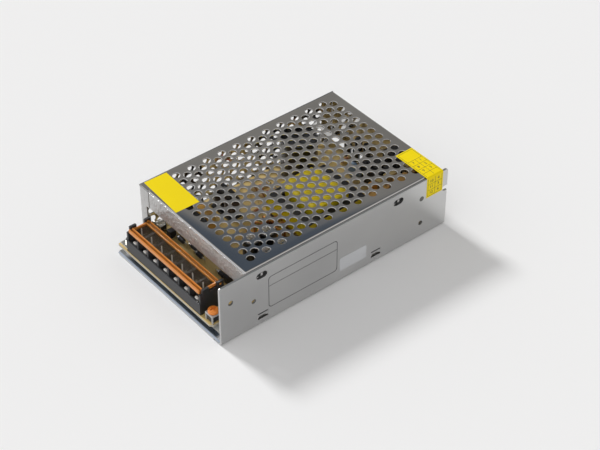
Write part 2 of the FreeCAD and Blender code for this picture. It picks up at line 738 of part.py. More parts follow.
def seat_screws(body):
    for radius, depth in (("(case_head_radius + screw_play)", "case_head_height"),
                          ("(case_screw_radius + screw_play)", "cover_thickness")):
        holes = sketch_on(body, "XZ_Plane", "-far_y")
        for i in range(2):
            outline(holes, ring_points(f"front_x + case_screw_place + {i} * case_screw_spacing",
                                       "case_screw_rise", radius, 12))
        add_pocket(body, holes, depth, backwards=True)


# Cover screws, countersunk flush with the far wall
def make_cover_screws():
    screws = []
    for i in range(2):
        x = f"front_x + case_screw_place + {i} * case_screw_spacing"
        head = prism(x, "far_y - case_head_height", "case_screw_rise", "case_head_radius",
                     "case_head_height", 12, ALONG_Y)
        shank = prism(x, "lip_outer_y - plate_thickness", "case_screw_rise", "case_screw_radius",
                      "far_y - case_head_height - lip_outer_y + plate_thickness", 8, ALONG_Y)
        screws.append(fuse(head, shank))
    return keep(group(*screws), "cover_screws")


# Insulation sheet under the board
def screw_places():
    return [
        ("front_x + corner_screw_x", "near_y + corner_screw_y"),
        ("front_x + rear_screw_x", "near_y + corner_screw_y"),
        ("front_x + rear_screw_x", "near_y + near_screw_y"),
        ("front_x + near_screw_x", "near_y + near_screw_y"),
    ]


def make_insulation():
    start = "(wall_inner_y + plate_bend + ledge_depth)"
    film = box("front_x + relief_length + film_margin", start, "plate_thickness",
               "plate_end_x - front_x - relief_length - 2 * film_margin",
               f"lip_outer_y - plate_thickness - film_margin - {start}", "film_thickness")
    openings = [prism(x, y, "0", "standoff_radius + 0.3", "board_lift", 6) for x, y in screw_places()]
    for i in range(2):
        for j in range(2):
            openings.append(prism(f"front_x + foot_first + {i} * foot_spacing",
                                  f"near_y + foot_near + {j} * foot_across", "0", "foot_bore", "board_lift",
                                  6))
    return keep(cut(film, *openings), "insulation_sheet")


# Circuit board, stepped back beside the adjuster
def make_board():
    body = new_body("circuit_board")
    shape = sketch_on(body, "XY_Plane", "board_lift")
    left = "front_x + board_front"
    right = "rear_x - board_tail"
    far = "far_y - cover_thickness - board_far_play"
    outline(shape, [
        (f"{left} + board_corner", "near_y + board_near"),
        ("front_x + board_step", "near_y + board_near"),
        ("front_x + board_step", "near_y + board_near_wide"),
        (right, "near_y + board_near_wide"),
        (right, far),
        ("cover_front_x + cover_thickness + notch_play", far),
        ("cover_front_x + cover_thickness + notch_play", "far_y - tab_width - notch_play"),
        ("cover_front_x - notch_play", "far_y - tab_width - notch_play"),
        ("cover_front_x - notch_play", far),
        (left, far),
        (left, "near_y + board_near + board_corner"),
    ])
    add_pad(body, shape, "board_thickness")
    holes = sketch_on(body, "XY_Plane", "board_top")
    for x, y in screw_places():
        outline(holes, ring_points(x, y, "(screw_radius + 2 * screw_play)", 8))
    add_pocket(body, holes, "board_thickness")
    return keep(body, "circuit_board")


def make_standoffs():
    posts = []
    for x, y in screw_places():
        post = prism(x, y, "plate_thickness", "standoff_radius", "board_lift - plate_thickness", 6)
        bore = prism(x, y, "plate_thickness + 1", "screw_radius + 2 * screw_play", "board_lift", 8)
        posts.append(cut(post, bore))
    return keep(group(*posts), "board_standoffs")


def slotted_screw(x, y, z, shank, length, head, height, slot):
    """A pan head screw pointing down, its head resting at height z."""
    thread = prism(x, y, f"{z} - {length}", shank, length, 8)
    cap = prism(x, y, z, head, height, 12)
    groove = box(f"{x} - {head}", f"{y} - {slot} / 2", f"{z} + {height} * 0.55", f"2 * {head}", slot,
                 height)
    return cut(fuse(thread, cap), groove)


def make_board_screws():
    screws = []
    for i, (x, y) in enumerate(screw_places()):
        seat = "board_top + earth_thickness" if i == 0 else "board_top"
        screws.append(slotted_screw(x, y, seat, "screw_radius", "(board_thickness + 2)",
                                    "screw_head_radius", "screw_head_height", "terminal_slot"))
    return keep(group(*screws), "board_screws")


def make_earth_plate():
    plate = box("front_x + corner_screw_x - earth_length / 2", "near_y + corner_screw_y - earth_width / 2",
                "board_top", "earth_length", "earth_width", "earth_thickness")
    hole = prism("front_x + corner_screw_x", "near_y + corner_screw_y", "board_lift",
                 "screw_radius + 2 * screw_play", "2 * board_thickness", 8)
    return keep(cut(plate, hole), "earth_plate")


# Terminal block: a row of compartments between barriers, with hinge ears and front posts
def way_y(i):
    return f"(block_near_y + barrier_wall + {i} * way_pitch + (way_pitch - barrier_wall) / 2)"


def make_block():
    body = new_body("terminal_block")
    side = sketch_on(body, "XZ_Plane", "-block_near_y")
    outline(side, [
        ("block_front_x", "board_top"),
        ("block_rear_x", "board_top"),
        ("block_rear_x", "block_top"),
        ("block_front_x + barrier_setback", "block_top"),
        ("block_front_x + barrier_setback", "block_lip"),
        ("block_front_x", "block_lip"),
    ])
    add_pad(body, side, "block_length", backwards=True)
    ways = int(number("way_count"))
    for i in range(ways):
        room = sketch_on(body, "XZ_Plane", f"-block_near_y - barrier_wall - {i} * way_pitch")
        outline(room, [
            ("block_front_x + lip_wall", "block_floor"),
            ("block_rear_x - rear_wall", "block_floor"),
            ("block_rear_x - rear_wall", "block_top + 1"),
            ("block_front_x - 1", "block_top + 1"),
            ("block_front_x - 1", "block_lip"),
            ("block_front_x + lip_wall", "block_lip"),
        ])
        add_pocket(body, room, "way_pitch - barrier_wall")
    holes = sketch_on(body, "XY_Plane", "block_floor")
    for i in range(ways):
        outline(holes, ring_points("block_front_x + screw_back", way_y(i),
                                   "(terminal_screw_radius + 2 * screw_play)", 8))
    add_pocket(body, holes, "4")
    add_ears(body)
    return keep(body, "terminal_block")


def add_ears(body):
    """The end walls rise into a front post and a hinge ear each."""
    for start in ("block_near_y", "block_near_y + block_length - barrier_wall"):
        for x in ("block_front_x + post_front", "hinge_x - ear_length / 2"):
            post = sketch_on(body, "XZ_Plane", f"-({start})")
            rectangle(post, x, "block_floor", "ear_length", "(ear_top - block_floor)")
            add_pad(body, post, "barrier_wall", backwards=True)
    bores = sketch_on(body, "XZ_Plane", "-block_near_y")
    circle(bores, "hinge_x", "hinge_z", "pin_radius + pin_play")
    add_pocket(body, bores, "3 * block_length", both_ways=True)


def make_contacts():
    plates = []
    washers = []
    screws = []
    screw_x = "block_front_x + screw_back"
    seat = "block_floor + contact_thickness"
    for i in range(int(number("way_count"))):
        y = way_y(i)
        plate = box(f"{screw_x} - contact_length / 2", f"{y} - contact_width / 2", "block_floor",
                    "contact_length", "contact_width", "contact_thickness")
        plates.append(cut(plate, prism(screw_x, y, "block_floor - 1", "terminal_screw_radius + 2 * screw_play",
                                       "4", 6)))
        washer = box(f"{screw_x} - washer_side / 2", f"{y} - washer_side / 2", seat,
                     "washer_side", "washer_side", "washer_thickness")
        washers.append(cut(washer, prism(screw_x, y, "block_floor - 1",
                                         "terminal_screw_radius + 2 * screw_play", "4", 6)))
        screws.append(slotted_screw(screw_x, y, f"{seat} + washer_thickness", "terminal_screw_radius", "5",
                                    "terminal_head_radius", "terminal_head_height", "terminal_slot"))
    keep(group(*plates), "terminal_contacts")
    keep(group(*washers), "terminal_washers")
    keep(group(*screws), "terminal_screws")


# Hinged guard over the terminals, between the ears
def make_guard():
    body = new_body("terminal_guard")
    inset = "(barrier_wall + guard_play)"
    long = "(block_length - 2 * barrier_wall - 2 * guard_play)"
    side = sketch_on(body, "XZ_Plane", f"-block_near_y - {inset}")
    edge = "(block_front_x + guard_front)"
    low = "(block_top + guard_play)"
    face = f"{low} + guard_thickness"
    crest = f"{low} + guard_rim_height"
    outline(side, [
        (edge, low),
        ("hinge_x", low),
        ("hinge_x", face),
        (f"{edge} + guard_rim", face),
        (f"{edge} + guard_rim", crest),
        (f"{edge} + guard_rim - guard_ridge", crest),
        (f"{edge} + guard_rim - guard_ridge", face),
        (f"{edge} + guard_ridge", face),
        (f"{edge} + guard_ridge", crest),
        (edge, crest),
    ])
    add_pad(body, side, long, backwards=True)
    barrel = sketch_on(body, "XZ_Plane", f"-block_near_y - {inset}")
    outline(barrel, ring_points("hinge_x", "hinge_z", "guard_barrel", 16))
    add_pad(body, barrel, long, backwards=True)
    for start in ("block_near_y", f"block_near_y + {inset} + {long}"):
        pin = sketch_on(body, "XZ_Plane", f"-({start})")
        circle(pin, "hinge_x", "hinge_z", "pin_radius")
        add_pad(body, pin, inset, backwards=True)
    return keep(body, "terminal_guard")


# Output voltage adjuster and lamp
def make_trimmer():
    x = "front_x + trimmer_x"
    y = "near_y + trimmer_y"
    foot = "board_top + trimmer_foot"
    case = box(f"{x} - trimmer_side / 2", f"{y} - trimmer_side / 2", foot, "trimmer_side",
               "trimmer_side", "trimmer_height")
    bore = cylinder(x, y, f"{foot} + rotor_play", "rotor_spindle + rotor_play", "trimmer_height")
    legs = [box(f"{x} + {i} * trimmer_side * 0.36 - 0.4", f"{y} + {j} * trimmer_side * 0.36 - 0.3",
                "board_top", "0.8", "0.6", "trimmer_foot") for i, j in ((-1, -1), (1, -1), (0, 1))]
    keep(fuse(cut(case, bore), *legs), "trimmer_body")
    top = f"{foot} + trimmer_height"
    spindle = cylinder(x, y, f"{foot} + 2 * rotor_play", "rotor_spindle", "trimmer_height")
    cap = rod(x, y, f"{top} + rotor_play", "rotor_radius", "rotor_height")
    groove = box(f"{x} - rotor_radius", f"{y} - terminal_slot / 2", f"{top} + rotor_height * 0.6",
                 "2 * rotor_radius", "terminal_slot", "rotor_height")
    keep(cut(fuse(spindle, cap), groove), "trimmer_rotor")


def make_lamp():
    x = "front_x + lamp_x"
    y = "near_y + lamp_y"
    lens = rod(x, y, "board_top", "lamp_radius", "lamp_height")
    flange = rod(x, y, "board_top", "lamp_radius + 0.4", "1")
    keep(fuse(lens, flange), "power_lamp")


# Main transformer, lying with its winding along Y
def make_transformer():
    x = "(front_x + core_x)"
    y = "(near_y + core_y)"
    ring = box(f"{x} - core_width / 2", f"{y} - core_length / 2", "core_rise", "core_width",
               "core_length", "core_height")
    window = box(f"{x} - core_width / 2 + core_leg", f"{y} - core_length / 2 + core_yoke", "core_rise - 1",
                 "core_width - 2 * core_leg", "core_length - 2 * core_yoke", "core_height + 2")
    middle = box(f"{x} - core_middle / 2", f"{y} - core_length / 2 + 1", "core_rise", "core_middle",
                 "core_length - 2", "core_height")
    keep(fuse(cut(ring, window), middle), "transformer_core")
    wrap = box(f"{x} - core_width / 2 - tape_thickness", f"{y} - core_length / 2 - tape_thickness",
               "core_rise + 0.5", "core_width + 2 * tape_thickness", "core_length + 2 * tape_thickness",
               "core_height - 1")
    hollow = box(f"{x} - core_width / 2", f"{y} - core_length / 2", "core_rise - 1", "core_width",
                 "core_length", "core_height + 2")
    keep(cut(wrap, hollow), "transformer_tape")
    coil_length = "(core_length - 2 * core_yoke - 2 * winding_wall)"
    middle_z = "(core_rise + core_height / 2)"
    coil = box(f"{x} - winding_width / 2", f"{y} - {coil_length} / 2", f"{middle_z} - winding_height / 2",
               "winding_width", coil_length, "winding_height")
    coil = round_edges(coil, "winding_corner", "y")
    sleeve = box(f"{x} - core_middle / 2", f"{y} - core_length", "core_rise", "core_middle",
                 "2 * core_length", "core_height")
    keep(cut(coil, sleeve), "transformer_winding")
    rails = []
    for side in (-1, 1):
        rails.append(box(f"{x} - core_width / 2 + 2",
                         f"{y} + {side} * (core_length / 2 - rail_width / 2) - rail_width / 2",
                         "board_top", "core_width - 4", "rail_width", "rail_height"))
    keep(group(*rails), "transformer_bobbin")


def round_edges(item, radius, axis):
    """Round a box's four edges along one axis."""
    doc.recompute()
    fillet = doc.addObject("Part::Fillet", "rounded")
    fillet.Base = item
    size = number(radius)
    chosen = []
    for index, edge in enumerate(item.Shape.Edges, start=1):
        run = edge.Vertexes[1].Point - edge.Vertexes[0].Point
        if abs(getattr(run, axis)) > 0.9 * run.Length:
            chosen.append((index, size, size))
    fillet.Edges = chosen
    return fillet


# Capacitors
def make_cans():
    keep(rod("front_x + bulk_x", "near_y + bulk_y", "board_top", "bulk_radius", "bulk_height"),
         "bulk_capacitor")
    cans = []
    for i in range(2):
        for j in range(2):
            cans.append(rod(f"front_x + can_x + {i} * can_pitch", f"near_y + can_y + {j} * can_row",
                            "board_top", "can_radius", "can_height"))
    keep(group(*cans), "output_capacitors")
    smalls = [rod(f"front_x + small_x + {i} * small_pitch", "near_y + small_y", "board_top",
                  "small_radius", "small_height") for i in range(3)]
    keep(group(*smalls), "small_capacitors")
    film_cap = box("front_x + film_cap_x - film_cap_width / 2", "near_y + film_cap_y - film_cap_length / 2",
                   "board_top", "film_cap_width", "film_cap_length", "film_cap_height")
    keep(round_edges(film_cap, "film_cap_corner", "z"), "x_capacitor")


# Disc parts standing on two leads
def disc(x, y, radius, thickness, turn):
    middle = f"(board_top + lead_height + {radius})"
    if turn is ALONG_X:
        body = rod(f"{x} - {thickness} / 2", y, middle, radius, thickness, ALONG_X)
        spots = [(x, f"{y} + {side} * {radius} * 0.5") for side in (-1, 1)]
    else:
        body = rod(x, f"{y} - {thickness} / 2", middle, radius, thickness, ALONG_Y)
        spots = [(f"{x} + {side} * {radius} * 0.5", y) for side in (-1, 1)]
    leads = [prism(a, b, "board_top", "lead_radius", f"lead_height + {radius} * 0.3", 6) for a, b in spots]
    return fuse(body, *leads)


def make_discs():
    keep(disc("(front_x + disc_x)", "(near_y + disc_y)", "disc_radius", "disc_thickness", ALONG_X),
         "y_capacitor")
    keep(disc("(front_x + inrush_x)", "(near_y + inrush_y)", "inrush_radius", "inrush_thickness", ALONG_Y),
         "thermistor")


# Output inductor: a ring with separate turns of wire
def make_inductor():
    x = "(front_x + ring_x)"
    y = "(near_y + ring_y)"
    foot = "(board_top + 2 * wire_radius)"
    core = cut(rod(x, y, foot, "ring_radius", "ring_height"),
               rod(x, y, "board_top", "ring_bore", "3 * ring_height"))
    keep(core, "inductor_core")
    turns = []
    count = int(number("ring_turns"))
    reach = "(ring_bore - coil_play - 2 * wire_radius)"
    span = "(ring_radius - ring_bore + 2 * coil_play + 4 * wire_radius)"
    for i in range(count):
        angle = 360 / count * i
        turn = FreeCAD.Rotation(FreeCAD.Vector(0, 0, 1), angle)
        corner_x = f"{x} + {reach} * cos({angle}) + wire_radius * sin({angle})"
        corner_y = f"{y} + {reach} * sin({angle}) - wire_radius * cos({angle})"
        loop = box(corner_x, corner_y, "board_top", span, "2 * wire_radius",
                   "ring_height + 4 * wire_radius")
        turns.append(place(loop, corner_x, corner_y, "board_top", turn))
    room = cut(rod(x, y, foot, "ring_radius + coil_play", "ring_height"),
               rod(x, y, "board_top", "ring_bore - coil_play", "3 * ring_height"))
    keep(cut(fuse(*turns), room), "inductor_winding")


# Common mode choke: an upright rectangular core with a winding on each limb
def make_choke():
    x = "(front_x + choke_x)"
    y = "(near_y + choke_y)"
    foot = "(board_top + choke_base)"
    frame = box(f"{x} - choke_depth / 2", f"{y} - choke_length / 2", foot, "choke_depth",
                "choke_length", "choke_height")
    window = box(f"{x} - choke_depth", f"{y} - choke_length / 2 + choke_limb", f"{foot} + choke_limb",
                 "2 * choke_depth", "choke_length - 2 * choke_limb", "choke_height - 2 * choke_limb")
    keep(cut(frame, window), "choke_core")
    base = box(f"{x} - coil_radius", f"{y} - choke_length / 2 - 2", "board_top", "2 * coil_radius",
               "choke_length + 4", "choke_base")
    keep(base, "choke_base")
    coils = []
    for side in (-1, 1):
        middle = f"{y} + {side} * (choke_length - choke_limb) / 2"
        coil = rod(x, middle, f"{foot} + choke_limb + coil_play", "coil_radius",
                   "choke_height - 2 * choke_limb - 2 * coil_play")
        limb = box(f"{x} - choke_depth / 2", f"{middle} - choke_limb / 2", foot, "choke_depth",
                   "choke_limb", "choke_height")
        coils.append(cut(coil, limb))
    keep(group(*coils), "choke_winding")


# Fuse between two clips
def make_fuse():
    x = "(front_x + fuse_x)"
    y = "(near_y + fuse_y)"
    axis = "(board_top + fuse_rise)"
    tube = rod(f"{x} - fuse_length / 2 + fuse_cap", y, axis, "fuse_radius - 0.2",
               "fuse_length - 2 * fuse_cap", ALONG_X)
    keep(tube, "fuse_tube")
    caps = []
    clips = []
    for start in (f"{x} - fuse_length / 2", f"{x} + fuse_length / 2 - fuse_cap"):
        caps.append(rod(start, y, axis, "fuse_radius", "fuse_cap", ALONG_X))
        strap = box(f"{start} + 0.6", f"{y} - fuse_radius - clip_thickness", "board_top", "fuse_cap - 1.2",
                    "2 * fuse_radius + 2 * clip_thickness", f"fuse_rise + fuse_radius * 0.6")
        hollow = rod(start, y, axis, "fuse_radius", "fuse_cap", ALONG_X)
        gap = box(start, f"{y} - fuse_radius", "board_top + clip_thickness", "fuse_cap",
                  "2 * fuse_radius", "fuse_rise - clip_thickness - fuse_radius * 0.8")
        mouth = box(start, f"{y} - fuse_radius * 0.8", axis, "fuse_cap", "1.6 * fuse_radius", "fuse_rise")
        clips.append(cut(strap, hollow, gap, mouth))
    keep(group(*caps), "fuse_caps")
    keep(group(*clips), "fuse_clips")


def make_bridge():
    body = box("front_x + bridge_x - bridge_width / 2", "near_y + bridge_y - bridge_length / 2",
               "board_top + lead_height", "bridge_width", "bridge_length", "bridge_height")
    legs = [box("front_x + bridge_x - leg_width / 2",
                f"near_y + bridge_y + ({i} - 1.5) * bridge_length * 0.27 - leg_width / 2", "board_top",
                "leg_width", "leg_width", "lead_height + 0.5") for i in range(4)]
    keep(fuse(body, *legs), "bridge_rectifier")


def make_driver():
    x = "(front_x + driver_x)"
    y = "(near_y + driver_y)"
    foot = "(board_top + rail_height / 2)"
    frame = box(f"{x} - driver_width / 2", f"{y} - driver_length / 2", foot, "driver_width",
                "driver_length", "driver_height - rail_height / 2")
    window = box(f"{x} - driver_width / 2 + driver_leg", f"{y} - driver_length / 2 + driver_leg",
                 "board_top", "driver_width - 2 * driver_leg", "driver_length - 2 * driver_leg",
                 "2 * driver_height")
    keep(cut(frame, window), "driver_transformer_core")
    coil = box(f"{x} - driver_width / 2 + driver_leg + coil_play",
               f"{y} - driver_length / 2 + driver_leg + coil_play", "board_top",
               "driver_width - 2 * driver_leg - 2 * coil_play",
               "driver_length - 2 * driver_leg - 2 * coil_play", "driver_height + 1.5")
    rails = [box(f"{x} - driver_width / 2 + 1", f"{y} + {side} * driver_length / 2 - 2 + {side} * -2",
                 "board_top", "driver_width - 2", "4", "rail_height / 2") for side in (-1, 1)]
    keep(fuse(coil, *rails), "driver_transformer_bobbin")


# Power devices held flat against the side wall, which is their heat sink
def device(x):
    tab = box(f"{x} - device_width / 2", "device_near_y", "device_rise", "device_width", "device_tab",
              "device_height")
    mould = box(f"{x} - device_width / 2", "device_near_y + device_tab", "device_rise", "device_width",
                "device_thickness", "device_body")
    legs = [box(f"{x} + {i} * leg_pitch - leg_width / 2", "device_near_y + device_depth - 1.4 - leg_width",
                "board_top", "leg_width", "leg_width", "device_rise - board_top + 1") for i in (-1, 0, 1)]
    return fuse(tab, mould, *legs)


def wall_pad(x, width, hole_x):
    pad = box(f"{x} - {width} / 2", "wall_inner_y", "device_rise - 0.8", width, "pad_thickness",
              "device_height + 0.9")
    return cut(pad, prism(hole_x, "near_y", "clamp_rise", "clamp_screw_radius + 2 * screw_play",
                          "2 * plate_thickness", 8, ALONG_Y))


def make_transistors():
    pair = [device(f"(clamp_x + {side} * device_spacing / 2)") for side in (-1, 1)]
    keep(group(*pair), "power_transistors")
    keep(wall_pad("clamp_x", "(device_spacing + device_width + 2)", "clamp_x"), "transistor_insulator")
    front_face = "(device_near_y + device_depth)"
    strip = box("clamp_x - device_spacing / 2 - device_width * 0.35", front_face,
                "clamp_rise - clamp_width / 2", "device_spacing + device_width * 0.7", "clamp_thickness",
                "clamp_width")
    bore = prism("clamp_x", "near_y", "clamp_rise", "clamp_screw_radius + 2 * screw_play", "case_width / 4",
                 8, ALONG_Y)
    keep(cut(strip, bore), "transistor_clamp")
    shank = prism("clamp_x", "near_y", "clamp_rise", "clamp_screw_radius",
                  f"{front_face} + clamp_thickness - near_y", 8, ALONG_Y)
    head = prism("clamp_x", f"{front_face} + clamp_thickness", "clamp_rise", "clamp_head_radius",
                 "clamp_head_height", 12, ALONG_Y)
    keep(fuse(shank, head), "clamp_screw")


def make_output_rectifier():
    x = "(front_x + rectifier_x)"
    keep(device(x), "output_rectifier")
    keep(wall_pad(x, "(device_width + 2)", x), "rectifier_insulator")
    front_face = "(device_near_y + device_depth)"
    left = "(stud_x - clamp_head_radius - clamp_thickness)"
    strip = box(left, front_face, "clamp_rise - clamp_width / 2", f"{x} + device_width * 0.35 - {left}",
                "clamp_thickness", "clamp_width")
    foot = box(left, "wall_inner_y", "clamp_rise - clamp_width / 2", "clamp_thickness",
               f"{front_face} - wall_inner_y", "clamp_width")
    bore = prism("stud_x", "near_y", "clamp_rise", "clamp_screw_radius + 2 * screw_play", "case_width / 4",
                 8, ALONG_Y)
    keep(cut(fuse(strip, foot), bore), "rectifier_clamp")
    stud = prism("stud_x", "wall_inner_y", "clamp_rise", "clamp_screw_radius",
                 f"{front_face} + clamp_thickness + clamp_head_height + 1.5 - wall_inner_y", 8, ALONG_Y)
    nut = prism("stud_x", f"{front_face} + clamp_thickness", "clamp_rise", "clamp_head_radius",
                "clamp_head_height", 6, ALONG_Y)
    keep(fuse(stud, nut), "rectifier_stud")


# Control parts
def make_chip():
    x = "(front_x + chip_x)"
    y = "(near_y + chip_y)"
    body = box(f"{x} - chip_length / 2", f"{y} - chip_width / 2", "board_top + leg_width", "chip_length",
               "chip_width", "chip_height")
    legs = []
    for i in range(8):
        for side in (-1, 1):
            legs.append(box(f"{x} + ({i} - 3.5) * leg_pitch - leg_width / 2",
                            f"{y} + {side} * (chip_span - leg_width) / 2 - leg_width / 2", "board_top",
                            "leg_width", "leg_width", "chip_height / 2 + leg_width"))
    keep(fuse(body, *legs), "controller_ic")


def make_resistors():
    resistors = []
    axis = "(board_top + resistor_rise)"
    for i in range(2):
        y = f"(near_y + resistor_y + {i} * resistor_pitch)"
        start = "(front_x + resistor_x - resistor_length / 2)"
        body = rod(start, y, axis, "resistor_radius", "resistor_length", ALONG_X)
        wire = prism(f"{start} - 2", y, axis, "lead_radius", "resistor_length + 4", 6, ALONG_X)
        ends = [box(f"{start} - 2 + {j} * (resistor_length + 4) - lead_radius", f"{y} - lead_radius",
                    "board_top", "2 * lead_radius", "2 * lead_radius", "resistor_rise + lead_radius")
                for j in range(2)]
        resistors.append(fuse(body, wire, *ends))
    keep(group(*resistors), "resistors")


make_chassis()
make_cover()
make_cover_screws()
make_insulation()
make_board()
make_standoffs()
make_board_screws()
make_earth_plate()
make_block()
make_contacts()
make_guard()
make_trimmer()
make_lamp()
make_transformer()
make_cans()
make_discs()
make_inductor()
make_choke()
make_fuse()
make_bridge()
make_driver()
make_transistors()
make_output_rectifier()
make_chip()
make_resistors()
doc.recompute()
failed = [item.Name for item in doc.Objects if "Invalid" in item.State or "Error" in item.State]
if failed:
    raise RuntimeError(f"failed objects: {failed}")
os.makedirs("parts", exist_ok=True)
for item in NODES:
    if item.Shape.isNull() or not item.Shape.isValid():
        raise RuntimeError(f"{item.Label} has no valid shape")
    item.Shape.exportStep(f"parts/{item.Label}.step")
    print(item.Label, len(item.Shape.Solids), round(item.Shape.Volume, 1), item.Shape.BoundBox)
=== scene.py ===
import json
import math

import bmesh
import bpy
from mathutils import Matrix, Vector
from mathutils.geometry import delaunay_2d_cdt

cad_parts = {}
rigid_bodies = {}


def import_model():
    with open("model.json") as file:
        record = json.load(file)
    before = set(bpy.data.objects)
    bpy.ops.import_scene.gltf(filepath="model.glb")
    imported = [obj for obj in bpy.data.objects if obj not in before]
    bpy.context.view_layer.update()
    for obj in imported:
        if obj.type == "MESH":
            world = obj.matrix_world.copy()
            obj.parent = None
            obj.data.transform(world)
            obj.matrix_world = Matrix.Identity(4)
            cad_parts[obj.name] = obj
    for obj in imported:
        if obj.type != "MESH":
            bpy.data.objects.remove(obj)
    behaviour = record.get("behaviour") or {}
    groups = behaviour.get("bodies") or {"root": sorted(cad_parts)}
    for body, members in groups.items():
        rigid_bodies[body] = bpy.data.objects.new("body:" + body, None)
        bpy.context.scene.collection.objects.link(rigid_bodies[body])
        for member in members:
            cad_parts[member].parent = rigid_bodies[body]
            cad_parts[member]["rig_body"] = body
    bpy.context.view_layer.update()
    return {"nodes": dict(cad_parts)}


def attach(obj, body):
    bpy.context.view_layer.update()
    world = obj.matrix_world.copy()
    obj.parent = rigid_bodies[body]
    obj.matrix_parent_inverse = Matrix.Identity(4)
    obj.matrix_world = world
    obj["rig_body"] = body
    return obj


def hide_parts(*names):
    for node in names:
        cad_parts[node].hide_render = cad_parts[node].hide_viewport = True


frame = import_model()

# Places are in millimetres, as in the part's source: X from the front edge to the rear, Y from
# the outer face of the side wall to the far wall, Z up. at() turns them into the row frame.
MM = 0.001
LENGTH, WIDTH, TOP = 159.0, 97.0, 40.5


def at(x, y, z):
    return Vector(((x - LENGTH / 2) * MM, (y - WIDTH / 2) * MM, z * MM))


# Materials
def material(name, color, rough, metal=0.0, coat=0.0, clear=0.0):
    mat = bpy.data.materials.new(name)
    mat.use_nodes = True
    for socket, value in (("Base Color", (*color, 1)), ("Roughness", rough), ("Metallic", metal),
                          ("Coat Weight", coat), ("Transmission Weight", clear)):
        shader_of(mat).inputs[socket].default_value = value
    return mat


def shader_of(mat):
    return mat.node_tree.nodes["Principled BSDF"]


def add(mat, kind, **values):
    """A new node, with values for its inputs or its properties."""
    node = mat.node_tree.nodes.new(kind)
    for key, value in values.items():
        if key in node.inputs:
            node.inputs[key].default_value = value
        else:
            setattr(node, key, value)
    return node


def link(mat, source, target):
    mat.node_tree.links.new(source, target)


def position(mat, stretch=(1, 1, 1)):
    """Object coordinates, stretched so that a noise turns into streaks."""
    place = add(mat, "ShaderNodeTexCoord")
    scale = add(mat, "ShaderNodeMapping", Scale=stretch)
    link(mat, place.outputs["Object"], scale.inputs["Vector"])
    return scale.outputs["Vector"]


def noise_of(mat, scale, detail=2.0, stretch=(1, 1, 1)):
    noise = add(mat, "ShaderNodeTexNoise", Scale=scale, Detail=detail)
    link(mat, position(mat, stretch), noise.inputs["Vector"])
    return noise.outputs["Fac"]


def map_range(mat, source, low, high, start=0.0, end=1.0):
    """Turn the values from start to end into those from low to high."""
    node = add(mat, "ShaderNodeMapRange")
    for socket, value in (("From Min", start), ("From Max", end), ("To Min", low), ("To Max", high)):
        node.inputs[socket].default_value = value
    link(mat, source, node.inputs["Value"])
    return node.outputs["Result"]


def bump(mat, height, strength, distance):
    node = add(mat, "ShaderNodeBump", Strength=strength, Distance=distance)
    link(mat, height, node.inputs["Height"])
    link(mat, node.outputs["Normal"], shader_of(mat).inputs["Normal"])


def vary(mat, color_a, color_b, scale, stretch=(1, 1, 1)):
    """Blend the base colour between two tones over a noise."""
    ramp = add(mat, "ShaderNodeValToRGB")
    for stop, place, color in zip(ramp.color_ramp.elements, (0.35, 0.65), (color_a, color_b)):
        stop.position = place
        stop.color = (*color, 1)
    link(mat, noise_of(mat, scale, 3.0, stretch), ramp.inputs["Fac"])
    link(mat, ramp.outputs["Color"], shader_of(mat).inputs["Base Color"])
    return mat


def roughen(mat, low, high, scale):
    rough = map_range(mat, noise_of(mat, scale), low, high)
    link(mat, rough, shader_of(mat).inputs["Roughness"])
    return mat


def grain(mat, scale, strength, distance):
    bump(mat, noise_of(mat, scale), strength, distance)
    return mat


def crumple(mat, start, end, smooth, rough):
    """Uneven metal of roughness rough where X is below start, fading to a smooth finish at end."""
    split = add(mat, "ShaderNodeSeparateXYZ")
    link(mat, position(mat), split.inputs["Vector"])
    share = map_range(mat, split.outputs["X"], 1.0, 0.0, at(start, 0, 0).x, at(end, 0, 0).x)
    link(mat, map_range(mat, share, smooth, rough), shader_of(mat).inputs["Roughness"])
    height = add(mat, "ShaderNodeMath", operation="MULTIPLY")
    link(mat, noise_of(mat, 1100.0, stretch=(1, 1, 0.45)), height.inputs[0])
    link(mat, share, height.inputs[1])
    bump(mat, height.outputs["Value"], strength=1.0, distance=0.0012)


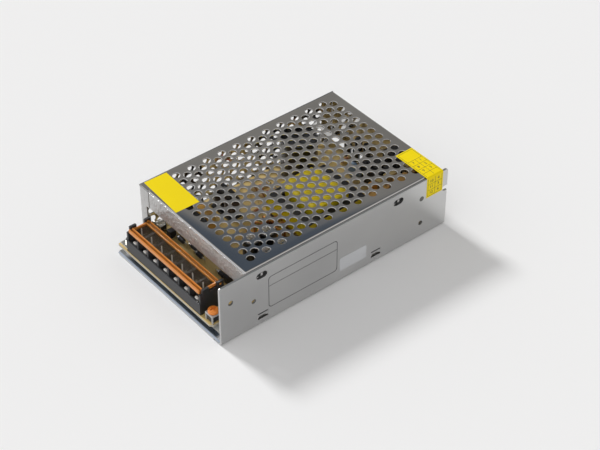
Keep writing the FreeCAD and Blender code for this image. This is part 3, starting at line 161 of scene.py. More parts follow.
# Smooth metals, plastics and papers; textured ones get their noise below.
PLAIN = {
    "bright": dict(color=(0.75, 0.74, 0.72), rough=0.22, metal=1.0),
    "nickel": dict(color=(0.78, 0.76, 0.70), rough=0.25, metal=1.0),
    "film": dict(color=(0.80, 0.78, 0.70), rough=0.5),
    "amber": dict(color=(0.93, 0.36, 0.07), rough=0.14, clear=0.35),
    # darker copy of the amber: painted shade in the guard's front groove and rear band
    "amber_painted_shade": dict(color=(0.55, 0.20, 0.03), rough=0.15, clear=0.6),
    "amber_panel": dict(color=(0.07, 0.04, 0.012), rough=0.06),
    # paler copy of the panel: painted glints on the guard's ridges
    "amber_rib_painted_glint": dict(color=(0.62, 0.52, 0.42), rough=0.12),
    "solder_side": dict(color=(0.16, 0.21, 0.28), rough=0.45),
    # dark steel of the clamp screw, and painted shade on the threads and rims in the holes
    "dark_steel_and_hole_shade": dict(color=(0.16, 0.16, 0.15), rough=0.4, metal=1.0),
    "zinc": dict(color=(0.60, 0.56, 0.50), rough=0.25, metal=1.0),
    # pale strip that paints a highlight along the plate's front edge
    "edge_painted_highlight": dict(color=(0.40, 0.45, 0.52), rough=0.6),
    "trimmer_grey": dict(color=(0.45, 0.45, 0.44), rough=0.35),
    "orange": dict(color=(0.85, 0.26, 0.035), rough=0.38),
    "green": dict(color=(0.15, 0.60, 0.22), rough=0.15, clear=0.5),
    "sleeve": dict(color=(0.012, 0.013, 0.016), rough=0.28, coat=0.4),
    "can_top": dict(color=(0.86, 0.86, 0.85), rough=0.22, metal=1.0),
    # dark of print and bands, and painted shade in the slots and the can scores
    "dark_line": dict(color=(0.02, 0.02, 0.02), rough=0.6),
    "amber_box": dict(color=(0.62, 0.34, 0.07), rough=0.3, coat=0.3),
    "blue": dict(color=(0.14, 0.22, 0.32), rough=0.35, coat=0.3),
    "dark_disc": dict(color=(0.03, 0.05, 0.035), rough=0.45),
    "copper": dict(color=(0.50, 0.22, 0.07), rough=0.28, metal=1.0),
    "dark_copper": dict(color=(0.05, 0.028, 0.015), rough=0.3, coat=0.4),
    "yellow_ring": dict(color=(0.42, 0.36, 0.05), rough=0.45),
    "glass": dict(color=(0.95, 0.97, 0.97), rough=0.05, clear=1.0),
    "pad": dict(color=(0.42, 0.43, 0.43), rough=0.6),
    "tan": dict(color=(0.50, 0.34, 0.16), rough=0.45),
    "print": dict(color=(0.035, 0.035, 0.04), rough=0.6),
    "label_pale": dict(color=(0.56, 0.57, 0.585), rough=0.45),
    "band_brown": dict(color=(0.20, 0.07, 0.02), rough=0.5),
    "band_red": dict(color=(0.45, 0.03, 0.02), rough=0.5),
    "film_brown": dict(color=(0.50, 0.28, 0.08), rough=0.35, coat=0.2),
    "film_orange": dict(color=(0.72, 0.34, 0.06), rough=0.35),
    "film_olive": dict(color=(0.50, 0.38, 0.17), rough=0.35),
    "board_edge": dict(color=(0.46, 0.42, 0.33), rough=0.6),
    # white non-metal that paints the glints of the terminals' clamp lips and ears
    "painted_glint_white": dict(color=(0.92, 0.90, 0.86), rough=0.4),
    "floor": dict(color=(0.89, 0.89, 0.89), rough=0.9),
}
MATS = {name: material(name, **values) for name, values in PLAIN.items()}

SHINE, HAZE = 0.07, 0.29          # roughness of the cover's sheet, and of its front flange
MATS["aluminium"] = grain(
    vary(material("aluminium", (0.55, 0.55, 0.55), 0.3, metal=1.0),
         (0.53, 0.53, 0.53), (0.58, 0.58, 0.575), 18),
    scale=1400, strength=0.05, distance=0.0001)
MATS["steel"] = vary(material("steel", (0.6, 0.6, 0.61), SHINE, metal=1.0),
                     (0.57, 0.565, 0.56), (0.63, 0.625, 0.62), 40, stretch=(0.3, 1, 1))
crumple(MATS["steel"], 18.02, 18.15, SHINE, HAZE)
MATS["laminate"] = vary(material("laminate", (0.75, 0.50, 0.21), 0.5),
                        (0.60, 0.42, 0.14), (0.76, 0.57, 0.25), 60)
for name, color, rough, scale, strength in (
        ("black", (0.018, 0.018, 0.02), 0.42, 500, 0.08),
        ("block", (0.022, 0.023, 0.026), 0.42, 400, 0.08),
        ("ferrite", (0.02, 0.02, 0.022), 0.5, 350, 0.15)):
    MATS[name] = grain(material(name, color, rough), scale, strength, distance=0.0002)
MATS["yellow"] = roughen(material("yellow", (0.90, 0.70, 0.02), 0.25, coat=0.3), 0.2, 0.36, 60)
MATS["label_yellow"] = vary(material("label_yellow", (0.87, 0.72, 0.0), 0.5),
                            (0.86, 0.66, 0.002), (0.90, 0.70, 0.002), 25)
for name, socket, value in (("label_yellow", "Specular IOR Level", 0.15),
                            ("amber_panel", "Specular IOR Level", 0.3),
                            ("amber_panel", "Alpha", 0.16), ("amber_rib_painted_glint", "Alpha", 0.15),
                            ("floor", "Specular IOR Level", 0.0)):
    shader_of(MATS[name]).inputs[socket].default_value = value

# The finish of each CAD node that shows as it is or is dressed below
CAD_FINISH = {
    "chassis": "aluminium", "cover_screws": "bright", "insulation_sheet": "film",
    "circuit_board": "laminate", "board_standoffs": "bright", "board_screws": "bright",
    "earth_plate": "nickel", "terminal_block": "block", "terminal_contacts": "zinc",
    "terminal_washers": "nickel", "transformer_core": "ferrite", "transformer_tape": "yellow",
    "transformer_winding": "yellow", "transformer_bobbin": "black", "x_capacitor": "amber_box",
    "y_capacitor": "blue", "thermistor": "dark_disc", "choke_core": "ferrite",
    "choke_base": "black", "fuse_clips": "nickel", "bridge_rectifier": "black",
    "driver_transformer_core": "ferrite", "driver_transformer_bobbin": "black",
    "power_transistors": "black", "transistor_insulator": "pad", "transistor_clamp": "bright",
    "clamp_screw": "dark_steel_and_hole_shade", "output_rectifier": "black", "rectifier_insulator": "pad",
    "rectifier_clamp": "bright", "rectifier_stud": "bright", "controller_ic": "black",
}
for node, finish in CAD_FINISH.items():
    mesh = frame["nodes"][node].data
    mesh.materials.clear()
    mesh.materials.append(MATS[finish])


# Mesh helpers
WELD = 2e-6                       # metres between corners that are joined
WIRE_SIDES = 10
ALONG_X = Matrix.Rotation(math.pi / 2, 4, "Y")
ALONG_Y = Matrix.Rotation(-math.pi / 2, 4, "X")
UPRIGHT = Matrix.Identity(4)


def spot(x, y, z, turn=UPRIGHT):
    """The place of a turned shape, whose axis is upright unless turn says otherwise."""
    return Matrix.Translation(at(x, y, z)) @ turn


def new_object(name, bm, mat):
    mesh = bpy.data.meshes.new(name)
    bm.to_mesh(mesh)
    bm.free()
    mesh.materials.append(MATS[mat])
    obj = bpy.data.objects.new(name, mesh)
    bpy.context.scene.collection.objects.link(obj)
    return obj


def apply_modifiers(obj):
    graph = bpy.context.evaluated_depsgraph_get()
    mesh = bpy.data.meshes.new_from_object(obj.evaluated_get(graph))
    obj.modifiers.clear()
    obj.data = mesh


def bevel(obj, width, segments=2, angle=40):
    item = obj.modifiers.new("bevel", "BEVEL")
    item.width = width * MM
    item.segments = segments
    item.angle_limit = math.radians(angle)
    item.limit_method = "ANGLE"
    return obj


def thicken(obj, thickness):
    """Give a skin this thickness in millimetres, inwards from its face."""
    solid = obj.modifiers.new("solid", "SOLIDIFY")
    solid.thickness = thickness * MM
    solid.offset = -1
    return obj


def finish_piece(obj, body, nodes=(), angle=30):
    """Apply the modifiers, smooth the shading, and hang the piece on its body."""
    apply_modifiers(obj)
    obj.data.shade_smooth()
    obj.data.set_sharp_from_angle(angle=math.radians(angle))
    even = obj.modifiers.new("even", "WEIGHTED_NORMAL")
    even.keep_sharp = True
    even.weight = 100
    apply_modifiers(obj)
    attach(obj, body)
    if nodes:
        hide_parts(*nodes)
    return obj


def circle(radius, count):
    return [(radius * math.cos(math.tau * i / count), radius * math.sin(math.tau * i / count))
            for i in range(count)]


def join_rings(bm, low, high):
    """Faces between two closed rows with as many corners each."""
    for i in range(len(low)):
        j = (i + 1) % len(low)
        bm.faces.new((low[i], low[j], high[j], high[i]))


def add_box(bm, low, high):
    made = bmesh.ops.create_cube(bm, size=1.0)["verts"]
    size = high - low
    middle = (high + low) / 2
    for vert in made:
        vert.co = Vector((vert.co.x * size.x, vert.co.y * size.y, vert.co.z * size.z)) + middle
    return made


def add_turned(bm, profile, matrix, segments):
    """A turned shape from (radius, height) pairs, closed where the radius is zero."""
    rings = []
    for radius, height in profile:
        corners = circle(radius, segments) if radius else [(0, 0)]
        rings.append([bm.verts.new(matrix @ (Vector((u, v, height)) * MM)) for u, v in corners])
    for low, high in zip(rings, rings[1:]):
        for i in range(segments):
            j = (i + 1) % segments
            corners = [low[i % len(low)], low[j % len(low)],
                       high[j % len(high)], high[i % len(high)]]
            unique = list(dict.fromkeys(corners))
            if len(unique) > 2:
                bm.faces.new(unique)


def add_tube(bm, points, radius, closed):
    """A round wire through the given places."""
    path = [at(*p) for p in points]
    count = len(path)
    side = None
    rings = []
    for i, here in enumerate(path):
        before = path[i - 1] if closed or i else here
        after = path[(i + 1) % count] if closed or i < count - 1 else here
        along = (after - before).normalized()
        side = along.orthogonal() if side is None else side - along * side.dot(along)
        side.normalize()
        other = along.cross(side)
        rings.append([bm.verts.new(here + (side * u + other * v) * MM)
                      for u, v in circle(radius, WIRE_SIDES)])
    for low, high in zip(rings, rings[1:]):
        join_rings(bm, low, high)
    if closed:
        join_rings(bm, rings[-1], rings[0])
    else:
        bm.faces.new(rings[0])
        bm.faces.new(rings[-1][::-1])


def turned(name, places, profile, mat, nodes=(), body="case", segments=32, angle=30):
    """One piece of equal turned shapes, one at each place."""
    bm = bmesh.new()
    for place in places:
        add_turned(bm, profile, place, segments)
    finish_piece(new_object(name, bm, mat), body, nodes, angle)


def boxes(name, spans, mat, nodes=(), body="case", width=0.1):
    """One piece of boxes, each given by its low and high corners, with edges rounded by width."""
    bm = bmesh.new()
    for low, high in spans:
        add_box(bm, at(*low), at(*high))
    finish_piece(bevel(new_object(name, bm, mat), width), body, nodes)


def tubes(name, paths, radius, mat, nodes=(), closed=False):
    """One piece of round wires."""
    bm = bmesh.new()
    for path in paths:
        add_tube(bm, path, radius, closed)
    bmesh.ops.recalc_face_normals(bm, faces=bm.faces)
    finish_piece(new_object(name, bm, mat), "case", nodes, 50)


def cross_cut(obj, places, reach, width, depth):
    """Cut a cross slot into the top of each head."""
    bm = bmesh.new()
    for place in places:
        for wide, long in ((width, reach), (reach, width)):
            corner = Vector((wide, long, depth)) * MM
            for vert in add_box(bm, -corner, corner):
                vert.co = place @ vert.co
    cutter = new_object("cutter", bm, "dark_line")
    item = obj.modifiers.new("cross", "BOOLEAN")
    item.operation = "DIFFERENCE"
    item.solver = "EXACT"
    item.use_self = True
    item.object = cutter
    apply_modifiers(obj)
    bpy.data.objects.remove(cutter)


# Cover: one folded sheet with round holes
SHEET = 0.8                       # thickness
FOLD = 1.08                       # outer radius of the folds
FOLD_STEPS = 4
HOLE = 4.5 / 2
HOLE_SIDES = 20
COVER_X = (18.0, 156.2)
COVER_Y = (1.6, 97.0)
SEAM = (88.0, 88.3)               # gap between the front flange and the front tab
HEM_LOW, FLANGE_LOW, REAR_LOW, TAB_LOW = 30.5, 28.5, 9.2, 1.9
TAB_NEAR, TAB_STEP = 90.5, 28.0   # near edge of the tab below the step beside the seam
FRONT, REAR, NEAR, FAR, UP = (-1, 0, 0), (1, 0, 0), (0, -1, 0), (0, 1, 0), (0, 0, 1)


def loop_edges(first, count):
    return [(first + i, first + (i + 1) % count) for i in range(count)]


def flat_region(bm, corners, to_space, holes=()):
    """A flat region with round holes, cut into triangles and placed by to_space."""
    points = [Vector(c) for c in corners]
    edges = loop_edges(0, len(points))
    for cx, cy in holes:
        edges += loop_edges(len(points), HOLE_SIDES)
        points += [Vector((cx + u, cy + v)) for u, v in circle(HOLE, HOLE_SIDES)]
    within_outline, merge = 2, 1e-5
    verts, _, faces, _, _, _ = delaunay_2d_cdt(points, edges, [], within_outline, merge)
    placed = [bm.verts.new(to_space(v.x, v.y)) for v in verts]
    clear = HOLE * 0.97           # a triangle whose middle is nearer than this fills a hole
    for face in faces:
        middle = sum((verts[i] for i in face), Vector((0, 0))) / len(face)
        if all((middle - Vector(c)).length > clear for c in holes):
            bm.faces.new([placed[i] for i in face])


def fold_step(out_a, out_b, step):
    """The direction at this step of the quarter turn from out_a to out_b."""
    turn = math.pi / 2 * step / FOLD_STEPS
    return Vector(out_a) * math.cos(turn) + Vector(out_b) * math.sin(turn)


def fold_strip(bm, start, end, out_a, out_b):
    """A quarter round along the line start to end, turning from out_a to out_b."""
    rows = []
    for i in range(FOLD_STEPS + 1):
        shift = fold_step(out_a, out_b, i) * FOLD * MM
        rows.append((bm.verts.new(at(*start) + shift), bm.verts.new(at(*end) + shift)))
    for (a, b), (c, d) in zip(rows, rows[1:]):
        bm.faces.new((a, b, d, c))


def corner_patch(bm, centre, out_a, out_b, out_c):
    """An eighth of a ball between three folds."""
    steps = range(FOLD_STEPS + 1)
    grid = [[bm.verts.new(at(*centre) + fold_step(fold_step(out_a, out_b, j), out_c, i) * FOLD * MM)
             for j in steps] for i in steps]
    for i in range(FOLD_STEPS):
        for j in range(FOLD_STEPS):
            bm.faces.new((grid[i][j], grid[i][j + 1], grid[i + 1][j + 1], grid[i + 1][j]))


def hole_grid(starts, pitch, ends):
    """Interleaved grids of hole centres, one from each start."""
    found = []
    for x, y in starts:
        columns = int((ends[0] - x) / pitch[0]) + 1
        rows = int((ends[1] - y) / pitch[1]) + 1
        found += [(x + i * pitch[0], y + j * pitch[1]) for i in range(columns) for j in range(rows)]
    return found


TOP_HOLES = hole_grid([(27.5, 9.3), (32.75, 12.65)], (10.5, 6.7), (149.2, 90.0))
WALL_HOLES = hole_grid([(30.0, 8.75), (24.75, 12.0)], (10.5, 6.5), (149.2, 35.5))


def make_cover():
    bm = bmesh.new()
    (x0, x1), (y0, y1) = COVER_X, COVER_Y
    xa, xb, ya, yb, zt = x0 + FOLD, x1 - FOLD, y0 + FOLD, y1 - FOLD, TOP - FOLD
    # top
    flat_region(bm, [(xa, ya), (xb, ya), (xb, yb), (x0, yb), (x0, SEAM[1]), (xa, SEAM[1]),
                     (xa, SEAM[0])], lambda x, y: at(x, y, TOP), TOP_HOLES)
    # far wall, with a sliver that meets the front end of the far fold
    flat_region(bm, [(xa, 0.0), (x1, 0.0), (x1, zt), (xb, zt), (x0, zt), (xa, zt - 0.001)],
                lambda x, z: at(x, y1, z), WALL_HOLES)
    # near hem and its fold
    flat_region(bm, [(xa, HEM_LOW), (xb, HEM_LOW), (xb, zt), (xa, zt)], lambda x, z: at(x, y0, z))
    fold_strip(bm, (xa, ya, zt), (xb, ya, zt), NEAR, UP)
    # front flange, its folds, and the near corner
    flat_region(bm, [(ya, FLANGE_LOW), (SEAM[0], FLANGE_LOW), (SEAM[0], zt), (ya, zt)],
                lambda y, z: at(x0, y, z))
    fold_strip(bm, (xa, ya, zt), (xa, SEAM[0], zt), FRONT, UP)
    fold_strip(bm, (xa, ya, HEM_LOW), (xa, ya, zt), FRONT, NEAR)
    corner_patch(bm, (xa, ya, zt), FRONT, NEAR, UP)
    # far fold
    fold_strip(bm, (x0, yb, zt), (x1, yb, zt), FAR, UP)
    # rear wall, its folds, and the near corner
    flat_region(bm, [(ya, REAR_LOW), (yb, REAR_LOW), (yb, zt), (ya, zt)],
                lambda y, z: at(x1, y, z))
    fold_strip(bm, (xb, ya, zt), (xb, yb, zt), REAR, UP)
    fold_strip(bm, (xb, ya, HEM_LOW), (xb, ya, zt), REAR, NEAR)
    corner_patch(bm, (xb, ya, zt), REAR, NEAR, UP)
    # front tab, turned in from the far wall under the top
    under = TOP - SHEET
    flat_region(bm, [(TAB_NEAR, TAB_LOW), (yb, TAB_LOW), (yb, under), (SEAM[1], under),
                     (SEAM[1], TAB_STEP), (TAB_NEAR, TAB_STEP)], lambda y, z: at(x0, y, z))
    fold_strip(bm, (xa, yb, TAB_LOW), (xa, yb, under), FRONT, FAR)
    bmesh.ops.remove_doubles(bm, verts=bm.verts, dist=WELD)
    bmesh.ops.recalc_face_normals(bm, faces=bm.faces)
    obj = thicken(new_object("cover_sheet", bm, "steel"), SHEET)
    bevel(obj, 0.2, 1, 50).modifiers["bevel"].use_clamp_overlap = False
    finish_piece(obj, "case", ["cover"])


make_cover()

# Hook tongues of the cover, seen through the slots of the side wall
boxes("cover_hooks", [span for x in (27.6, 122.5)
                      for span in (((x - 0.5, 0.4, 34.3), (x + 0.9, 2.0, 36.2)),
                                   ((x - 2.9, 0.5, 33.9), (x - 1.9, 2.0, 34.5)))],
      "steel", width=0.15)


# CAD nodes shown with rounded edges and smooth curves
def dress(node, width):
    source = frame["nodes"][node]
    sharp = 35
    bm = bmesh.new()
    bm.from_mesh(source.data)
    bmesh.ops.remove_doubles(bm, verts=bm.verts, dist=WELD)
    bmesh.ops.dissolve_limit(bm, angle_limit=math.radians(1), verts=bm.verts, edges=bm.edges)
    obj = bevel(new_object(node + "_look", bm, CAD_FINISH[node]), width, angle=sharp)
    return finish_piece(obj, source["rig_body"], [node], sharp)


for node in ("terminal_block", "transformer_core", "transformer_tape", "transformer_winding",
             "transformer_bobbin", "driver_transformer_core", "driver_transformer_bobbin",
             "bridge_rectifier", "power_transistors", "output_rectifier", "choke_core",
             "choke_base", "x_capacitor"):
    dress(node, 0.2)
for node in ("chassis", "earth_plate", "board_screws", "transistor_clamp", "rectifier_clamp",
             "controller_ic", "fuse_clips", "cover_screws", "clamp_screw"):
    dress(node, 0.12)

# The board is laminate on top, with a blue-grey solder side and pale edges; a face's index names
# its material, in the order they were added
board = dress("circuit_board", 0.1)
board.data.materials.append(MATS["solder_side"])
board.data.materials.append(MATS["board_edge"])
for face in board.data.polygons:
    if face.normal.z < 0.5:
        face.material_index = 1 if face.normal.z < -0.9 else 2

# Threads of the tapped holes in the side wall and the bottom plate, and rims at the clamp screw and
# in the clearance hole, all dark as painted shade in the holes;
# a pale strip along the front edge of the plate, a painted highlight; and dark sheets in the slots,
# painted shade
RIDGES = [(1.5, 0.0), (1.28, 0.2), (1.5, 0.4), (1.28, 0.6), (1.5, 0.8), (1.28, 1.0), (1.5, 1.2)]
RING = [(1.15, 0), (1.6, 0), (1.6, 0.1), (1.15, 0.1), (1.15, 0)]
for name, places, profile in (
        ("wall_threads", [spot(x, 0.05, z, ALONG_Y) for x, z in ((22.0, 19.4), (139.9, 10.6))],
         RIDGES),
        ("foot_threads", [spot(x, y, 0.05) for x in (29.5, 129.5) for y in (21.0, 76.0)], RIDGES),
        ("clamp_screw_shade_rim", [spot(139.9, -0.03, 28.0, ALONG_Y)], RING)):
    turned(name, places, profile, "dark_steel_and_hole_shade", segments=24)
# A pale strip along the plate's front edge: painted highlight
boxes("plate_edge_highlight", [((-0.02, 1.6, 1.26), (1.3, 95.4, 1.33))], "edge_painted_highlight",
      width=0.02)
# Dark sheets in the upper slits of the side wall's ledges: painted shade
boxes("ledge_painted_shades", [((x - 3.2, 0.3, 7.7), (x + 3.2, 2.25, 8.0)) for x in (27.9, 107.0)],
      "dark_line", width=0.02)
# Dark sheets behind the hook slots: painted shade over the cover's hem
boxes("slot_painted_shades", [((x - 3.6, 1.34, 32.6), (x + 3.6, 1.52, 37.2)) for x in (27.6, 122.5)],
      "dark_line", width=0.02)
# A dark ring in the clearance hole: painted shade of its bore
turned("wall_hole_shade_rim", [spot(7.0, 0.05, 26.9, ALONG_Y)], [(r + 0.1, h) for r, h in RIDGES],
       "dark_steel_and_hole_shade", segments=24)

# Terminals: domed screws with cross slots, clamp lips and ears in a white that paints their metal
# glints, and the beads of the barriers
PITCH = 9.46
WAYS = [25.03 + PITCH * i for i in range(7)]
BARRIERS = [20.3 + PITCH * i for i in range(1, 7)]
SCREW_X, SCREW_SEAT, SCREW_DOME = 8.6, 14.7, 2.2
DOME = [(0, 0), (3.1, 0), (3.1, 1.2), (2.9, 1.7), (2.3, 2.05), (1.2, SCREW_DOME), (0, SCREW_DOME)]
heads = bmesh.new()
for y in WAYS:
    add_turned(heads, DOME, spot(SCREW_X, y, SCREW_SEAT), 28)
heads = new_object("terminal_screw_heads", heads, "nickel")
cross_cut(heads, [spot(SCREW_X, y, SCREW_SEAT + SCREW_DOME) for y in WAYS],
          reach=2.2, width=0.4, depth=0.9)
finish_piece(heads, "case", ["terminal_screws"])
# Clamp lips and ears in white: painted highlights for the glints of their metal
boxes("clamp_lips", [((2.3, y - 1.6, 13.6), (3.7, y + 1.0, 16.2)) for y in WAYS],
      "painted_glint_white", width=0.45)
boxes("barrier_beads", [((10.6, y - 0.55, 13.0), (11.6, y + 0.55, 20.6)) for y in BARRIERS],
      "block", width=0.35)
boxes("clamp_ears", [((9.6, y + 3.0, 14.5), (10.2, y + 3.5, 20.2)) for y in WAYS],
      "painted_glint_white")


# Guard: a clear brown panel in an amber frame, with short ridges over the barriers; the ridges are
# paler than the panel as painted glints, and the front groove and rear band are darker amber as
# painted shade
def make_guard():
    near, far = 21.3, 85.52
    low, face, crest = 21.1, 22.2, 23.3
    rim, front, back = 0.9, 4.7, 13.1       # the ends' width, and the panel's span in X

    def part(name, spans, mat, width, nodes=()):
        boxes(name, spans, mat, nodes, "guard", width)

    part("guard_panel", [((front, near + rim, low), (back, far - rim, face))], "amber_panel", 0.12,
         ["terminal_guard"])
    part("guard_edges", [((1.8, near, low), (2.6, far, crest)),
                         ((3.9, near, low), (front, far, crest)),
                         ((front, near, low), (back, near + rim, face + 0.5)),
                         ((front, far - rim, low), (back, far, face + 0.5)),
                         ((back, near, low), (13.6, far, face + 0.35)),
                         ((15.5, near, low), (16.0, far, face + 0.35))], "amber", 0.12)
    # Front groove and rear band in darker amber: painted shade
    part("guard_bands", [((2.6, near, low), (3.9, far, face - 0.3)),
                         ((13.6, near, low), (15.5, far, face))], "amber_painted_shade", 0.05)
    turned("guard_pins", [spot(15.0, y, 22.2, ALONG_Y) for y in (19.6, 85.5)],
           [(0, 0), (0.6, 0), (0.7, 0.1), (0.7, 1.72), (0, 1.72)], "amber",
           body="guard", segments=16)
    # Ridges paler than the panel: painted glints
    part("guard_ribs", [((5.2, y - 4.4, face), (8.6, y - 4.0, face + 0.25)) for y in WAYS[1:]],
         "amber_rib_painted_glint", 0.12)


make_guard()

# Heights on the board: its upper face, the foot of a lead just inside it, and the underside of a
# boxed capacitor
BOARD, FOOT, RAISED = 7.5, 7.4, 8.2

# Adjuster: a grey frame on legs with an orange cross-slotted rotor; beside it the lamp
DIAL_X, DIAL_Y, DIAL_SEAT, DIAL_TOP = 4.9, 13.0, 12.88, 2.5
boxes("trimmer_frame", [((1.7, 9.8, 11.9), (8.1, 16.2, 12.8))]
      + [((x, y, BOARD), (x + 0.8, y + 0.8, 12.0)) for x in (1.8, 7.2) for y in (9.9, 15.3)],
      "trimmer_grey", ["trimmer_body"], width=0.15)
boxes("trimmer_core", [((2.05, 10.15, 8.2), (7.75, 15.85, 11.9))], "black",
      width=0.2)
rotor = bmesh.new()
add_turned(rotor, [(0, 0), (2.8, 0), (3.0, 0.2), (3.0, 1.5), (2.6, 2.1), (1.6, 2.45),
                   (0, DIAL_TOP)], spot(DIAL_X, DIAL_Y, DIAL_SEAT), 20)
rotor = new_object("trimmer_dial", rotor, "orange")
cross_cut(rotor, [spot(DIAL_X, DIAL_Y, DIAL_SEAT + DIAL_TOP)], reach=1.9, width=0.42, depth=0.9)
finish_piece(rotor, "adjuster", ["trimmer_rotor"], 25)
turned("lamp_lens", [spot(13.4, DIAL_Y, BOARD)],
       [(0, 0), (1.9, 0), (1.9, 1.0), (1.5, 1.0), (1.5, 3.8), (1.35, 4.45), (0.9, 4.95), (0, 5.2)],
       "green", ["power_lamp"])

# Electrolytic capacitors: crimped sleeves with scored tops, whose scores are dark strips of painted
# shade; places, radius, height and finishes
CANS = {
    "output_capacitors": ([(x, y) for x in (45, 56) for y in (18.5, 31.5)], 5.0, 22.0,
                          "sleeve", "can_top"),
    "small_capacitors": ([(x, 30.0) for x in (132, 140, 148)], 2.5, 11.0,
                         "film_brown", "film_brown"),
    "bulk_capacitor": ([(119.0, 82.0)], 11.0, 25.5, "sleeve", "sleeve"),
}


def make_cans(node, places, radius, height, sleeve, lid):
    top, reach, half = BOARD + height, radius * 0.62, 0.12
    turned(node + "_sleeves", [spot(x, y, BOARD) for x, y in places],
           [(0, 0), (radius - 0.3, 0), (radius, 0.3), (radius, 1.3), (radius - 0.35, 1.7),
            (radius, 2.1), (radius, height - 0.5), (radius - 0.2, height - 0.1),
            (radius - 0.6, height), (radius - 0.9, height - 0.1), (radius - 0.9, height - 0.3),
            (0, height - 0.3)], sleeve, [node], segments=36)
    turned(node + "_lids", [spot(x, y, top - 0.3) for x, y in places],
           [(0, 0), (radius - 0.9, 0), (radius - 1.0, 0.12), (radius * 0.45, 0.16), (0, 0.16)],
           lid, segments=36)
    # Scores as dark strips on the lids: painted shade of the scored grooves
    boxes(node + "_scores", [((x - a, y - b, top - 0.2), (x + a, y + b, top - 0.12))
                             for a, b in ((reach, half), (half, reach)) for x, y in places],
          "dark_line", width=0.02)


for node, values in CANS.items():
    make_cans(node, *values)
turned("board_cans", [spot(151.2, y, BOARD) for y in (76.0, 68.5)],
       [(0, 0), (2.3, 0), (2.3, 7.6), (2.0, 8.0), (1.8, 7.85), (0, 7.85)], "sleeve")

# Tape of the transformer: over the far yoke, and bulging over the winding
boxes("yoke_tape", [((88.5, 54.2, 25.2), (111.0, 60.7, 28.0))], "yellow", width=0.5)
boxes("winding_crown", [((87.0, 27.6, 24.6), (111.4, 57.0, 30.5))], "yellow",
      width=2.2)


# Disc parts on two leads
def make_disc(node, x, y, radius, thickness, along):
    turn = ALONG_X if along == "x" else ALONG_Y
    half = thickness / 2
    middle = 10.1 + radius
    edge = [(radius * 0.6, half * 0.95), (radius * 0.9, half * 0.6)]
    profile = ([(0, -half)] + [(r, -h) for r, h in edge] + [(radius, 0)] + edge[::-1]
               + [(0, half)])
    turned(node + "_body", [spot(x, y, middle, turn)], profile, CAD_FINISH[node],
           [node], segments=36, angle=60)
    paths = []
    for reach in (-radius * 0.5, radius * 0.5):
        foot = (x, y + reach) if along == "x" else (x + reach, y)
        paths.append([(*foot, z) for z in (FOOT, 11.0, middle - radius * 0.5)])
    tubes(node + "_leads", paths, 0.4, "nickel")


make_disc("y_capacitor", 137.0, 54.0, 6.0, 3.8, "x")
make_disc("thermistor", 49.5, 89.0, 5.2, 4.2, "y")


# Wound parts: the output inductor's turns and ring, and the choke's two coils
INDUCTOR_X, INDUCTOR_Y, INDUCTOR_TURNS = 68.0, 45.0, 14
TURN = [(3.05, 9.3), (3.05, 17.3), (3.6, 18.2), (4.6, 18.45), (7.0, 18.45), (8.0, 18.2),
        (8.55, 17.3), (8.55, 9.3), (8.0, 8.4), (7.0, 8.15), (4.6, 8.15), (3.6, 8.4)]
tubes("inductor_turns", [[(INDUCTOR_X + r * u, INDUCTOR_Y + r * v, z) for r, z in TURN]
                         for u, v in circle(1, INDUCTOR_TURNS)], 0.65, "copper",
      ["inductor_winding"], closed=True)
turned("inductor_ring", [spot(INDUCTOR_X, INDUCTOR_Y, 8.8)],
       [(4.0, 0.4), (4.4, 0), (7.2, 0), (7.6, 0.4), (7.6, 8.6), (7.2, 9.0), (4.4, 9.0), (4.0, 8.6),
        (4.0, 0.4)], "yellow_ring", ["inductor_core"], segments=40)
ripple = [(3.0, 0.0)]
for i in range(7):
    ripple += [(4.1, 0.02 + 0.95 * i), (4.6, 0.25 + 0.95 * i), (4.6, 0.65 + 0.95 * i)]
ripple += [(4.1, 6.68), (3.0, 6.7)]
turned("choke_turns", [spot(64.3, y, 12.9) for y in (74.3, 84.7)], ripple, "dark_copper",
       ["choke_winding"], angle=40)

# Power resistors with colour bands
RESISTOR_ROWS, RESISTOR_Z = (74.0, 81.0), 10.9
rest = [spot(84.0, y, RESISTOR_Z, ALONG_X) for y in RESISTOR_ROWS]
turned("resistor_bodies", rest,
       [(0, 0), (1.6, 0), (2.2, 0.5), (2.2, 2.2), (1.95, 2.7), (1.95, 9.3), (2.2, 9.8),
        (2.2, 11.5), (1.6, 12), (0, 12)], "tan", ["resistors"])
for name, start, out, mat in (("first", 1.0, 2.22, "band_brown"), ("second", 3.4, 1.97, "dark_line"),
                              ("third", 5.2, 1.97, "band_red"), ("fourth", 10.2, 2.22, "can_top")):
    turned("resistor_band_" + name, rest,
           [(out, start), (out + 0.02, start + 0.05), (out + 0.02, start + 0.85),
            (out, start + 0.9)], mat)
tubes("resistor_leads", [[(x, y, FOOT), (x, y, 10.2), (x + side * 0.5, y, RESISTOR_Z),
                          (x + side * 1.6, y, RESISTOR_Z)]
                         for y in RESISTOR_ROWS for x, side in ((82.6, 1), (97.4, -1))],
      0.4, "nickel")

# Fuse: glass tube, metal caps and the wire between them
FUSE_Y, FUSE_Z = 88.5, 12.5
turned("fuse_glass", [spot(27.2, FUSE_Y, FUSE_Z, ALONG_X)],
       [(2.0, 0), (2.4, 0), (2.4, 9.6), (2.0, 9.6), (2.0, 0)], "glass",
       ["fuse_tube"])
turned("fuse_ends", [spot(x, FUSE_Y, FUSE_Z, ALONG_X) for x in (22.0, 36.8)],
       [(0, 0), (2.3, 0), (2.6, 0.3), (2.6, 4.9), (2.3, 5.2), (0, 5.2)], "nickel",
       ["fuse_caps"])
tubes("fuse_wire", [[(27.0, FUSE_Y, FUSE_Z), (32.0, FUSE_Y, 12.3), (37.0, FUSE_Y, FUSE_Z)]],
      0.15, "bright")

